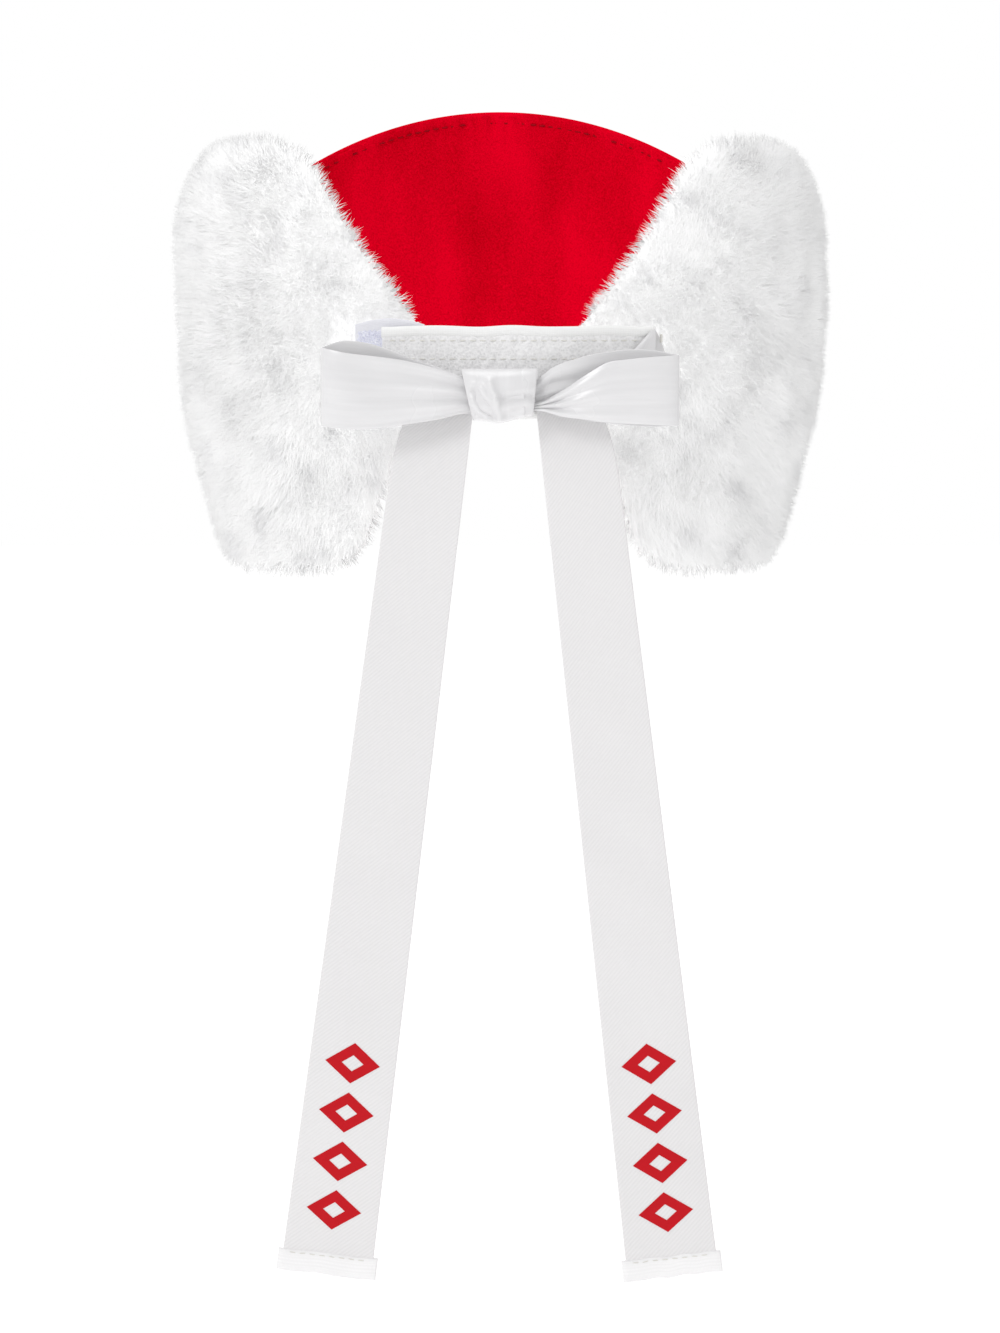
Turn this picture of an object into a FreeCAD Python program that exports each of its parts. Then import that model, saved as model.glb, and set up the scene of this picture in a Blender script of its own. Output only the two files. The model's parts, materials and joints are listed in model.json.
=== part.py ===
"""Open-crown winter headwear with fur ear flaps and a ribbon bow with two long tails at the back.

Frame, in millimetres: +Z is up, +Y points to the forehead and -Y to the back of the head, where
the bow sits. The origin is the centre of the head opening, at half the height of the back strap.
The head opening is an ellipse, and every wall of the ring lies between two such ellipses.
"""
import FreeCAD, Part
import math
import os

V = FreeCAD.Vector
UP = V(0, 0, 1)
FAR = 400.0                     # longer than any part, for cutting tools
PAST = 1.0                      # how far a cutting tool runs past what it cuts
TOUCH = 0.05                    # gap between stacked layers that only touch
FREE = 0.3                      # gap between pieces that move apart

# Head opening
HEAD_HALF_WIDTH = 98.0
HEAD_HALF_DEPTH = 82.0

# Crown ring: the front velvet panel and the two side panels
BAND_HALF_HEIGHT = 16.0         # half the height of the back strap and of the band around the head
FRONT_SEAM_DEG = 37.0           # direction of the seam between velvet and fur, from the X axis
FRONT_PEAK_HEIGHT = 102.0       # top of the velvet panel above the origin
FRONT_ARC_RADIUS = 137.0        # curve of its top edge
VELVET = 1.5
STIFFENER = 1.2
BINDING = 0.8
BINDING_DEPTH = 5.0
SWEATBAND = 1.2
SWEATBAND_HEIGHT = 26.0

# Side panels with ear flaps
REAR_GAP_HALF = 30.0            # half the gap between the two rear edges
SIDE_LINING = 1.5
WADDING = 6.0
SIDE_LOFT = 28.0                # whole thickness at the ear, lining to fur tips
REAR_LOFT = 14.0                # the same at the back of the head
SEAM_LOFT = 10.0                # and at the front seam
WADDING_INSET = 7.0             # the wadding stops this far inside the edges
WADDING_SEAM_DEG = 3.0          # and this far short of the front seam
SIDE_TOP_HEIGHT = 90.0
SIDE_FRONT_HEIGHT = 84.0        # top of the fur at the front seam
FLAP_BOTTOM = -76.0
REAR_EDGE_RISE = 1.0            # the straight rear edge starts this far above the band
REAR_EDGE_DROP = 22.0           # and ends this far below it
REAR_SLOPE_RUN = 31.0           # the rear edge slopes this far forward between strap and top
FLAP_REAR_RUN = 16.0            # lower rear corner of the flap, forward of the rear edge
FLAP_FRONT_RUN = 58.0           # lower front corner of the flap, behind the front seam
FLAP_FRONT_GAP = 14.0           # front end of the flap's fold, behind the front seam
TOP_FALL_RUN = 60.0             # the top edge falls over this length towards the front seam
REAR_TOP_ROUND = 6.0            # rounds of the outline, from the rear edge's top downward
REAR_LOW_ROUND = 20.0
FLAP_REAR_ROUND = 20.0
FLAP_FRONT_ROUND = 34.0
FLAP_NECK_ROUND = 10.0
TOP_FRONT_ROUND = 60.0
TOP_REAR_ROUND = 20.0
CORNER_TAPER = 14.0             # seen from behind, the flap narrows by this much to its end
CORNER_INSET = 6.0              # and the top corner leans in by this much
CORNER_TOP_ROUND = 26.0
CORNER_SIDE_ROUND = 60.0
CORNER_LOW_ROUND = 18.0
CHORD_DEG = 20.0                # the flap's fold line, turned from the Y axis
FOLD_HEIGHT = -18.0             # where the flap folds
FOLD_INSET = 20.0               # the fold axis lies this far inside the outermost fur
FLAP_SWING_DEG = 25.0
FLAP_SPARE_DEG = 1.0            # room past the end of the swing
FLAP_GAP = 0.6

# Back strap, closed on the left by hook and loop and sewn down on the right
STRAP_LEFT_LAP = 12.0           # how far it laps over the left panel
STRAP_RIGHT_LAP = 25.0
STRAP_LINING = 0.8
STRAP_CORE = 1.2
STRAP_FACE = 1.2
STRAP_BINDING = 0.5
STRAP_BINDING_DEPTH = 3.6
LOOP_TAB = 1.0
LOOP_PILE = 1.0
HOOK_PILE = 1.0
PATCH_MARGIN = 1.0              # a patch ends this far inside what it is sewn on
HOOK_CLEAR = 0.4                # the hook patch stays this far from the strap's bindings
HOOK_PAST_GAP = 2.0             # how far the hook patch runs into the rear gap
LOOP_TAB_EXTRA = 10.0           # how far the loop tab shows past the strap's end
LOOP_TAB_PAST_GAP = 3.0         # and how far it runs into the rear gap
ROOT_TAB = 2.0
ROOT_TAB_LENGTH = 20.0
ROOT_TAB_PAST_STRAP = 9.0

# Bow
SATIN = 0.9
BOW_CENTRE_Z = -5.0
LOOP_REACH = 63.0               # from the middle of the knot to the end of a loop
LOOP_HEIGHT = 30.0
LOOP_DEPTH = 15.0
LOOP_PINCH_HEIGHT = 15.0        # height of a loop where it enters the knot
LOOP_PINCH_DEPTH = 4.0
LOOP_FULL_SHARE = 0.6           # the loop reaches its full height at this share of its reach
LOOP_ROUND = 20.0               # round of its outline there
LOOP_TIP_FALL = 1.0             # the top edge falls by this much to the tip
KNOT_WIDTH = 25.0
KNOT_HEIGHT = 18.5
KNOT_DROP = 2.6                 # the knot's middle below the loops' middle
KNOT_WALL = 1.2
KNOT_ROUND = 6.0
KNOT_GRIP = 4.0                 # how far a loop runs into the knot
KNOT_PROUD = 2.0                # the knot is this much deeper than the loops

# Tails
TAIL_THICKNESS = 1.2
TAIL_TOP_WIDTH = 26.6
TAIL_END_WIDTH = 33.4
TAIL_LENGTH = 309.0
TAIL_ROOT_LENGTH = 18.0
TAIL_HINGE_DROP = 2.5           # a tail starts to swing this far below the loops
TAILS = {"left": (-24.0, 7.4), "right": (27.3, -6.7)}   # middle of the top edge, lean in degrees
HEM_HEIGHT = 8.0
HEM_SIDE = 1.6
HEM_WALL = 0.6
HEM_STITCH_INSET = 1.0          # the stitches run this far below the hem's top

# Print: a row of open diamonds
DIAMONDS = 4
DIAMOND_PITCH = 18.4
DIAMOND_WIDTH = 20.0
DIAMOND_HEIGHT = 15.0
DIAMOND_STROKE = 4.2
PRINT_ABOVE_END = 52.0          # middle of the print above the tail's end
INK = 0.15

# Thread
STITCH = (2.4, 0.5, 0.35)       # length, width, height above the cloth
STITCH_PITCH = 3.6
STRAP_STITCH_ROWS = (4.6, 11.2)  # below the strap's top edge
BINDING_STITCH_INSET = 1.1      # above the binding's lower edge
TACK_SIZE = (3.0, 0.8, 0.8)
TACKS = 4
TACK_FROM_STRAP = 3.0

HEAD = (HEAD_HALF_WIDTH, HEAD_HALF_DEPTH)
FUR_TIPS = (HEAD_HALF_WIDTH + SIDE_LOFT, HEAD_HALF_DEPTH + REAR_LOFT)
SEAM_DIRECTION = V(math.cos(math.radians(FRONT_SEAM_DEG)), math.sin(math.radians(FRONT_SEAM_DEG)), 0)


def grown(ellipse, amount):
    """The ellipse with both half axes longer by amount."""
    return (ellipse[0] + amount, ellipse[1] + amount)


def ellipse_prism(ellipse, low, high):
    """Upright solid with an elliptical plan."""
    on_x = V(ellipse[0], 0, low)
    on_y = V(0, ellipse[1], low)
    centre = V(0, 0, low)
    if ellipse[0] >= ellipse[1]:
        curve = Part.Ellipse(on_x, on_y, centre)
    else:
        curve = Part.Ellipse(on_y, -on_x + 2 * centre, centre)
    face = Part.Face(Part.Wire([curve.toShape()]))
    return face.extrude(V(0, 0, high - low))


def ring(inner, outer, low, high):
    """Wall between two ellipses."""
    return ellipse_prism(outer, low, high).cut(ellipse_prism(inner, low - PAST, high + PAST))


def reach(ellipse, direction):
    """Distance from the Z axis to the ellipse in a plan direction."""
    return 1 / math.hypot(direction.x / ellipse[0], direction.y / ellipse[1])


def back_y(ellipse, x):
    """Y of the ellipse's back half at x."""
    return -ellipse[1] * math.sqrt(1 - (x / ellipse[0]) ** 2)


def back_heading(ellipse, x):
    """Direction in degrees of the ellipse's back half at x."""
    slope = ellipse[1] ** 2 * x / (ellipse[0] ** 2 * -back_y(ellipse, x))
    return math.degrees(math.atan(slope))


def prism(points, extrusion):
    """Solid on a closed straight-sided outline."""
    wire = Part.makePolygon(points + [points[0]])
    return Part.Face(wire).extrude(extrusion)


def rounded_prism(corners, to_space, extrusion):
    """Solid on a closed outline. Corners are (u, v, radius), and to_space gives a point's place."""
    flat = [V(u, v, 0) for u, v, radius in corners]
    rounds = []
    for i, (u, v, radius) in enumerate(corners):
        back = (flat[i - 1] - flat[i]).normalize()
        ahead = (flat[(i + 1) % len(flat)] - flat[i]).normalize()
        half = back.getAngle(ahead) / 2
        run = radius / math.tan(half)
        inward = (back + ahead).normalize()
        middle = flat[i] + inward * (radius / math.sin(half) - radius)
        rounds.append((flat[i] + back * run, middle, flat[i] + ahead * run))
    edges = []
    for i, (start, middle, end) in enumerate(rounds):
        next_start = rounds[(i + 1) % len(rounds)][0]
        start, middle, end, next_start = [to_space(p.x, p.y) for p in (start, middle, end, next_start)]
        if corners[i][2] > 0:
            edges.append(Part.Arc(start, middle, end).toShape())
        edges.append(Part.LineSegment(end, next_start).toShape())
    return Part.Face(Part.Wire(edges)).extrude(extrusion)


def sector(start_deg, end_deg):
    """Tall wedge from the Z axis between two directions less than 180 degrees apart."""
    middle_deg = (start_deg + end_deg) / 2
    corners = [V(0, 0, -FAR)]
    for angle in (start_deg, middle_deg, end_deg):
        direction = V(math.cos(math.radians(angle)), math.sin(math.radians(angle)), 0)
        corners.append(direction * 3 * FAR + V(0, 0, -FAR))
    return prism(corners, UP * 2 * FAR)


def slab(low, high):
    """Everything between two heights."""
    return Part.makeBox(2 * FAR, 2 * FAR, high - low, V(-FAR, -FAR, low))


def x_slab(low, high):
    """The back half of everything between two x."""
    return Part.makeBox(high - low, FAR, 2 * FAR, V(low, -FAR, -FAR))


def mirrored(shape):
    """The left-hand copy of a right-hand piece."""
    return shape.mirror(V(0, 0, 0), V(1, 0, 0))


def bar(size, centre, heading_deg=0.0, lean_deg=0.0):
    """Small block: size is its length along X, depth along Y and height, then turned and placed."""
    block = Part.makeBox(size[0], size[1], size[2], V(-size[0] / 2, -size[1] / 2, -size[2] / 2))
    block.rotate(V(0, 0, 0), V(0, 1, 0), lean_deg)
    block.rotate(V(0, 0, 0), UP, heading_deg)
    block.translate(centre)
    return block


# ---------------------------------------------------------------- front velvet panel

def arch(radius_change):
    """Everything under the front panel's arched top edge, raised by radius_change."""
    radius = FRONT_ARC_RADIUS + radius_change
    centre = V(0, -FAR, FRONT_PEAK_HEIGHT - FRONT_ARC_RADIUS)
    under = Part.makeCylinder(radius, 2 * FAR, centre, V(0, 1, 0))
    return under.common(slab(-BAND_HALF_HEIGHT, FAR))


def front_layer(inner, outer):
    """One cloth layer of the front panel."""
    wall = ring(inner, outer, -BAND_HALF_HEIGHT, FAR)
    return wall.common(sector(FRONT_SEAM_DEG, 180 - FRONT_SEAM_DEG)).common(arch(0))


def front_panel():
    """Lining, stiffener, outer velvet, the binding on the top edge, its thread and the sweatband."""
    lining_out = grown(HEAD, VELVET)
    stiffener_out = grown(lining_out, STIFFENER)
    velvet_out = grown(stiffener_out, VELVET)
    front = sector(FRONT_SEAM_DEG, 180 - FRONT_SEAM_DEG)
    lip = arch(BINDING).cut(arch(-BINDING_DEPTH))
    binding = ring(grown(HEAD, -BINDING), grown(velvet_out, BINDING), 0, FAR).common(front).common(lip)
    binding = binding.cut(ring(HEAD, velvet_out, -FAR, FAR).common(arch(0)))
    band = ring(grown(HEAD, -SWEATBAND), HEAD, -BAND_HALF_HEIGHT, SWEATBAND_HEIGHT - BAND_HALF_HEIGHT)
    return {
        "front_panel_lining": front_layer(HEAD, lining_out),
        "front_panel_stiffener": front_layer(lining_out, stiffener_out),
        "front_panel_velvet": front_layer(stiffener_out, velvet_out),
        "front_panel_binding": binding,
        "front_binding_stitches": Part.makeCompound(binding_stitches()),
        "sweatband": band.common(front),
    }


def binding_stitches():
    """Stitches along the binding's lower edge on the inside of the front panel."""
    face = grown(HEAD, -BINDING - STITCH[2] / 2)
    row_radius = FRONT_ARC_RADIUS - BINDING_DEPTH + BINDING_STITCH_INSET
    count = int(reach(HEAD, SEAM_DIRECTION) * SEAM_DIRECTION.x / STITCH_PITCH) - 1
    stitches = []
    for i in range(-count, count + 1):
        x = i * STITCH_PITCH
        height = FRONT_PEAK_HEIGHT - FRONT_ARC_RADIUS + math.sqrt(row_radius ** 2 - x ** 2)
        lean = math.degrees(math.asin(x / row_radius))
        size = (STITCH[0], STITCH[2], STITCH[1])
        stitches.append(bar(size, V(x, -back_y(face, x), height), -back_heading(face, x), lean))
    return stitches


# ---------------------------------------------------------------- side panels and ear flaps

CHORD = V(math.sin(math.radians(CHORD_DEG)), math.cos(math.radians(CHORD_DEG)), 0)
OUTWARD = V(math.cos(math.radians(CHORD_DEG)), -math.sin(math.radians(CHORD_DEG)), 0)
OUTERMOST = math.hypot(FUR_TIPS[0] * OUTWARD.x, FUR_TIPS[1] * OUTWARD.y)
FOLD_REACH = OUTERMOST - FOLD_INSET     # the fold axis from the Z axis, along OUTWARD


def fur_space():
    """Everything inside the fur's tips: the front half is shallower than the back half."""
    seam_tips = SEAM_DIRECTION * (reach(HEAD, SEAM_DIRECTION) + SEAM_LOFT)
    front_depth = seam_tips.y / math.sqrt(1 - (seam_tips.x / FUR_TIPS[0]) ** 2)
    front_half = Part.makeBox(2 * FAR, FAR, 2 * FAR, V(-FAR, 0, -FAR))
    back_half = Part.makeBox(2 * FAR, FAR, 2 * FAR, V(-FAR, -FAR, -FAR))
    front = ellipse_prism((FUR_TIPS[0], front_depth), -FAR, FAR).common(front_half)
    return front.fuse(ellipse_prism(FUR_TIPS, -FAR, FAR).common(back_half))


def side_outline(inset):
    """The right side panel seen square to its fold line: (along the chord, height, radius)."""
    seam = reach(HEAD, SEAM_DIRECTION) * SEAM_DIRECTION.dot(CHORD)
    front = seam + SIDE_LOFT
    rear = V(REAR_GAP_HALF, back_y(HEAD, REAR_GAP_HALF), 0).dot(CHORD)
    top = SIDE_TOP_HEIGHT - inset
    seam_top = SIDE_FRONT_HEIGHT - inset
    bottom = FLAP_BOTTOM + inset
    rear_top = BAND_HALF_HEIGHT + REAR_EDGE_RISE
    rear_bottom = -BAND_HALF_HEIGHT - REAR_EDGE_DROP
    return [
        (rear + inset, rear_top, REAR_TOP_ROUND),
        (rear + inset, rear_bottom, REAR_LOW_ROUND),
        (rear + FLAP_REAR_RUN + inset, bottom, FLAP_REAR_ROUND),
        (seam - FLAP_FRONT_RUN, bottom, FLAP_FRONT_ROUND),
        (seam - FLAP_FRONT_GAP - inset, -BAND_HALF_HEIGHT + inset, FLAP_NECK_ROUND),
        (front, -BAND_HALF_HEIGHT + inset, 0.0),
        (front, seam_top, 0.0),
        (seam - TOP_FALL_RUN, top, TOP_FRONT_ROUND),
        (rear + REAR_SLOPE_RUN + inset, top, TOP_REAR_ROUND),
    ]


def side_shadow(inset):
    """Prism that trims a side layer to the panel's outline."""
    corners = side_outline(inset)
    return rounded_prism(corners, lambda s, z: CHORD * s + UP * z, OUTWARD * FAR)


def rear_shadow():
    """Prism that rounds the fur's outer corners as they are seen from behind."""
    tip = FUR_TIPS[0]
    corners = [
        (0, SIDE_TOP_HEIGHT + PAST, 0),
        (tip - CORNER_INSET, SIDE_TOP_HEIGHT + PAST, CORNER_TOP_ROUND),
        (tip + PAST, 0, CORNER_SIDE_ROUND),
        (tip - CORNER_TAPER, FLAP_BOTTOM - PAST, CORNER_LOW_ROUND),
        (0, FLAP_BOTTOM - PAST, 0),
    ]
    return rounded_prism(corners, lambda x, z: V(x, -FAR, z), V(0, 2 * FAR, 0))


def flap_space():
    """Everything below the fold, with the relief that lets a thick flap swing outward."""
    top = FOLD_HEIGHT - FLAP_GAP / 2
    drop = FAR * math.tan(math.radians(FLAP_SWING_DEG + FLAP_SPARE_DEG))
    corners = [
        OUTWARD * -FAR + UP * top,
        OUTWARD * FOLD_REACH + UP * top,
        OUTWARD * (FOLD_REACH + FAR) + UP * (top - drop),
        OUTWARD * (FOLD_REACH + FAR) - UP * 2 * FAR,
        OUTWARD * -FAR - UP * 2 * FAR,
    ]
    return prism([corner - CHORD * FAR for corner in corners], CHORD * 2 * FAR)


def side_panels():
    """Fur, wadding and lining of each side panel and of the ear flap below its fold."""
    lining_out = grown(HEAD, SIDE_LINING)
    wadding_out = grown(lining_out, WADDING)
    side = sector(-90, FRONT_SEAM_DEG)
    inner_side = sector(-90, FRONT_SEAM_DEG - WADDING_SEAM_DEG)
    whole = {
        "lining": ring(HEAD, lining_out, -FAR, FAR).common(side).common(side_shadow(0)),
        "wadding": ring(lining_out, wadding_out, -FAR, FAR).common(inner_side)
                   .common(side_shadow(WADDING_INSET)),
    }
    fur = fur_space().cut(ellipse_prism(lining_out, -FAR, FAR)).common(side).common(side_shadow(0))
    whole["fur"] = fur.common(rear_shadow()).cut(whole["wadding"])
    upper_space = slab(FOLD_HEIGHT + FLAP_GAP / 2, FAR)
    lower_space = flap_space()
    pieces = {}
    for layer, solid in whole.items():
        for place, space in (("side", upper_space), ("flap", lower_space)):
            right = solid.common(space)
            pieces["right_%s_%s" % (place, layer)] = right
            pieces["left_%s_%s" % (place, layer)] = mirrored(right)
    return pieces


# ---------------------------------------------------------------- back strap

STRAP_LEFT = -REAR_GAP_HALF - STRAP_LEFT_LAP
STRAP_RIGHT = REAR_GAP_HALF + STRAP_RIGHT_LAP
HOOK_IN = grown(FUR_TIPS, TOUCH + LOOP_TAB + LOOP_PILE + FREE)
STRAP_IN = grown(HOOK_IN, HOOK_PILE)
STRAP_CORE_IN = grown(STRAP_IN, STRAP_LINING)
STRAP_FACE_IN = grown(STRAP_CORE_IN, STRAP_CORE)
STRAP_OUT = grown(STRAP_FACE_IN, STRAP_FACE)
BOW_BACK_Y = -STRAP_OUT[1] - STRAP_BINDING - TOUCH


def back_wall(inner, outer, left, right, half_height):
    """Curved piece of the back between two x."""
    return ring(inner, outer, -half_height, half_height).common(x_slab(left, right))


def strap():
    """The strap's three layers, its edge bindings, its topstitching and the hook patch."""
    body = back_wall(STRAP_IN, STRAP_OUT, STRAP_LEFT, STRAP_RIGHT, BAND_HALF_HEIGHT)
    cover = back_wall(grown(STRAP_IN, -STRAP_BINDING), grown(STRAP_OUT, STRAP_BINDING),
                      STRAP_LEFT, STRAP_RIGHT, BAND_HALF_HEIGHT + STRAP_BINDING)
    cover = cover.cut(body)
    edge = BAND_HALF_HEIGHT - STRAP_BINDING_DEPTH
    patch_left = STRAP_LEFT + PATCH_MARGIN
    patch_right = -REAR_GAP_HALF + HOOK_PAST_GAP
    return {
        "strap_lining": body.common(ring(STRAP_IN, STRAP_CORE_IN, -FAR, FAR)),
        "strap_core": body.common(ring(STRAP_CORE_IN, STRAP_FACE_IN, -FAR, FAR)),
        "strap_face": body.common(ring(STRAP_FACE_IN, STRAP_OUT, -FAR, FAR)),
        "strap_top_binding": cover.common(slab(edge, FAR)),
        "strap_bottom_binding": cover.common(slab(-FAR, -edge)),
        "strap_topstitching": Part.makeCompound(strap_stitches()),
        "hook_patch": back_wall(HOOK_IN, grown(STRAP_IN, -TOUCH), patch_left, patch_right,
                                edge - HOOK_CLEAR),
    }


def strap_stitches():
    """Two rows of stitches along the top of the strap's face."""
    face = grown(STRAP_OUT, STITCH[2] / 2)
    count = int((STRAP_RIGHT - STRAP_LEFT) / STITCH_PITCH) - 1
    size = (STITCH[0], STITCH[2], STITCH[1])
    stitches = []
    for below_top in STRAP_STITCH_ROWS:
        for i in range(count):
            x = STRAP_LEFT + (i + 1) * STITCH_PITCH
            place = V(x, back_y(face, x), BAND_HALF_HEIGHT - below_top)
            stitches.append(bar(size, place, back_heading(face, x)))
    return stitches


def strap_seats():
    """What holds the strap: the loop patch on its tab at the left, and the sewn tab at the right."""
    tab_out = grown(FUR_TIPS, TOUCH + LOOP_TAB)
    pile_out = grown(tab_out, LOOP_PILE)
    tab_left = STRAP_LEFT - LOOP_TAB_EXTRA
    tab_right = -REAR_GAP_HALF + LOOP_TAB_PAST_GAP
    root_left = STRAP_RIGHT + ROOT_TAB_PAST_STRAP - ROOT_TAB_LENGTH
    root_right = STRAP_RIGHT + ROOT_TAB_PAST_STRAP
    root_out = grown(FUR_TIPS, TOUCH + ROOT_TAB)
    face = grown(root_out, TACK_SIZE[2] / 2)
    tacks = []
    for i in range(TACKS):
        x = STRAP_RIGHT + TACK_FROM_STRAP
        z = (2 * (i + 0.5) / TACKS - 1) * BAND_HALF_HEIGHT
        tacks.append(bar((TACK_SIZE[1], TACK_SIZE[2], TACK_SIZE[0]), V(x, back_y(face, x), z),
                         back_heading(face, x)))
    return {
        "loop_tab": back_wall(grown(FUR_TIPS, TOUCH), tab_out, tab_left, tab_right,
                              BAND_HALF_HEIGHT + PATCH_MARGIN),
        "loop_patch": back_wall(tab_out, pile_out, tab_left + PATCH_MARGIN, tab_right - PATCH_MARGIN,
                                BAND_HALF_HEIGHT - PATCH_MARGIN),
        "strap_root_tab": back_wall(grown(FUR_TIPS, TOUCH), root_out, root_left, root_right,
                                    BAND_HALF_HEIGHT),
        "strap_root_tacks": Part.makeCompound(tacks),
    }


# ---------------------------------------------------------------- bow

KNOT_BACK_Y = BOW_BACK_Y - TAIL_THICKNESS - TOUCH
KNOT_DEPTH = LOOP_DEPTH + KNOT_PROUD
KNOT_CENTRE_Z = BOW_CENTRE_Z - KNOT_DROP
LOOP_START = KNOT_WIDTH / 2 - KNOT_GRIP


def egg(start, end, pinch_depth, tip_depth, middle_y):
    """Face of an egg-shaped plan: narrow end at x = start, round end at x = end."""
    count = 24
    points = []
    for i in range(count):
        turn = 2 * math.pi * i / count
        share = (1 - math.cos(turn)) / 2
        x = start + (end - start) * share
        half_depth = (pinch_depth + (tip_depth - pinch_depth) * share) / 2
        points.append(V(x, middle_y + half_depth * math.sin(turn), -FAR))
    curve = Part.BSplineCurve()
    curve.interpolate(Points=points, PeriodicFlag=True)
    return Part.Face(Part.Wire([curve.toShape()]))


def bow_loop():
    """Right loop: satin folded into an egg-shaped loop, tapering in height towards the knot."""
    middle_y = KNOT_BACK_Y - KNOT_DEPTH / 2
    outer = egg(LOOP_START, LOOP_REACH, LOOP_PINCH_DEPTH, LOOP_DEPTH, middle_y)
    inner = egg(LOOP_START + SATIN, LOOP_REACH - SATIN, LOOP_PINCH_DEPTH - 2 * SATIN,
                LOOP_DEPTH - 2 * SATIN, middle_y)
    tube = outer.extrude(UP * 2 * FAR).cut(inner.extrude(UP * 2 * FAR))
    half = LOOP_HEIGHT / 2
    pinch = LOOP_PINCH_HEIGHT / 2
    full = LOOP_REACH * LOOP_FULL_SHARE
    knot_edge = KNOT_WIDTH / 2
    corners = [
        (LOOP_START - PAST, KNOT_CENTRE_Z - pinch, 0),
        (knot_edge, KNOT_CENTRE_Z - pinch, 0),
        (full, BOW_CENTRE_Z - half, LOOP_ROUND),
        (LOOP_REACH + PAST, BOW_CENTRE_Z - half, 0),
        (LOOP_REACH + PAST, BOW_CENTRE_Z + half - LOOP_TIP_FALL, 0),
        (full, BOW_CENTRE_Z + half, LOOP_ROUND),
        (knot_edge, KNOT_CENTRE_Z + pinch, 0),
        (LOOP_START - PAST, KNOT_CENTRE_Z + pinch, 0),
    ]
    return tube.common(rounded_prism(corners, lambda x, z: V(x, -FAR, z), V(0, FAR, 0)))


def across_x(y_out, y_in, low, high, half_width, radius):
    """Solid of constant rounded section in Y and Z, running across X."""
    corners = [(y_out, low, radius), (y_in, low, radius), (y_in, high, radius), (y_out, high, radius)]
    return rounded_prism(corners, lambda y, z: V(-half_width, y, z), V(2 * half_width, 0, 0))


def bow():
    """Two loops, the gathered middle, and the wrap that makes the knot."""
    half = KNOT_HEIGHT / 2
    front_y = KNOT_BACK_Y - KNOT_DEPTH
    low = KNOT_CENTRE_Z - half
    high = KNOT_CENTRE_Z + half
    wrap = across_x(front_y, KNOT_BACK_Y, low, high, KNOT_WIDTH / 2, KNOT_ROUND)
    hollow = across_x(front_y + KNOT_WALL, KNOT_BACK_Y - KNOT_WALL, low + KNOT_WALL,
                      high - KNOT_WALL, KNOT_WIDTH, KNOT_ROUND - KNOT_WALL)
    inside = KNOT_WALL + TOUCH
    centre = across_x(front_y + inside, KNOT_BACK_Y - inside, low + inside, high - inside,
                      LOOP_START, KNOT_ROUND - inside)
    loop = bow_loop()
    return {
        "bow_loop_right": loop,
        "bow_loop_left": mirrored(loop),
        "bow_gathered_centre": centre,
        "bow_knot_wrap": wrap.cut(hollow),
    }


# ---------------------------------------------------------------- tails

TAIL_HINGE_Z = BOW_CENTRE_Z - LOOP_HEIGHT / 2 - TAIL_HINGE_DROP
TAIL_FRONT_Y = BOW_BACK_Y - TAIL_THICKNESS


def tail_place(shape, side):
    """Lean a tail piece, drawn upright under the point (0, -, 0), and hang it at its hinge."""
    middle, lean = TAILS[side]
    shape.rotate(V(0, 0, 0), V(0, 1, 0), lean)
    shape.translate(V(middle, 0, TAIL_HINGE_Z))
    return shape


def tail_width(down):
    """Width of a tail at a distance below its hinge."""
    return TAIL_TOP_WIDTH + (TAIL_END_WIDTH - TAIL_TOP_WIDTH) * down / TAIL_LENGTH


def tail_strip(top, bottom, y_front, y_back, extra=0.0):
    """Tapering piece of a tail between two distances below its hinge."""
    half_top = tail_width(top) / 2 + extra
    half_bottom = tail_width(bottom) / 2 + extra
    corners = [
        V(-half_top, y_front, -top),
        V(half_top, y_front, -top),
        V(half_bottom, y_front, -bottom),
        V(-half_bottom, y_front, -bottom),
    ]
    return prism(corners, V(0, y_back - y_front, 0))


def diamond(width, height, middle):
    """Upright diamond prism of ink on a tail's front."""
    corners = [
        V(-width / 2, TAIL_FRONT_Y - INK, middle),
        V(0, TAIL_FRONT_Y - INK, middle - height / 2),
        V(width / 2, TAIL_FRONT_Y - INK, middle),
        V(0, TAIL_FRONT_Y - INK, middle + height / 2),
    ]
    return prism(corners, V(0, INK, 0))


def tail_print():
    """A row of open diamonds up the tail."""
    inner_share = 1 - 2 * DIAMOND_STROKE / DIAMOND_WIDTH
    marks = []
    for i in range(DIAMONDS):
        middle = -TAIL_LENGTH + PRINT_ABOVE_END + (i - (DIAMONDS - 1) / 2) * DIAMOND_PITCH
        mark = diamond(DIAMOND_WIDTH, DIAMOND_HEIGHT, middle)
        hole = diamond(DIAMOND_WIDTH * inner_share, DIAMOND_HEIGHT * inner_share, middle)
        marks.append(mark.cut(hole))
    return Part.makeCompound(marks)


def hem_stitches():
    """Stitches across the hem's upper edge."""
    row = TAIL_LENGTH - HEM_HEIGHT + HEM_STITCH_INSET
    usable = tail_width(row) - 2 * STITCH[0]
    count = int(usable / STITCH_PITCH) + 1
    size = (STITCH[0], STITCH[2], STITCH[1])
    y = TAIL_FRONT_Y - HEM_WALL - STITCH[2] / 2
    return Part.makeCompound([
        bar(size, V((i - (count - 1) / 2) * STITCH_PITCH, y, -row)) for i in range(count)
    ])


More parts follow.
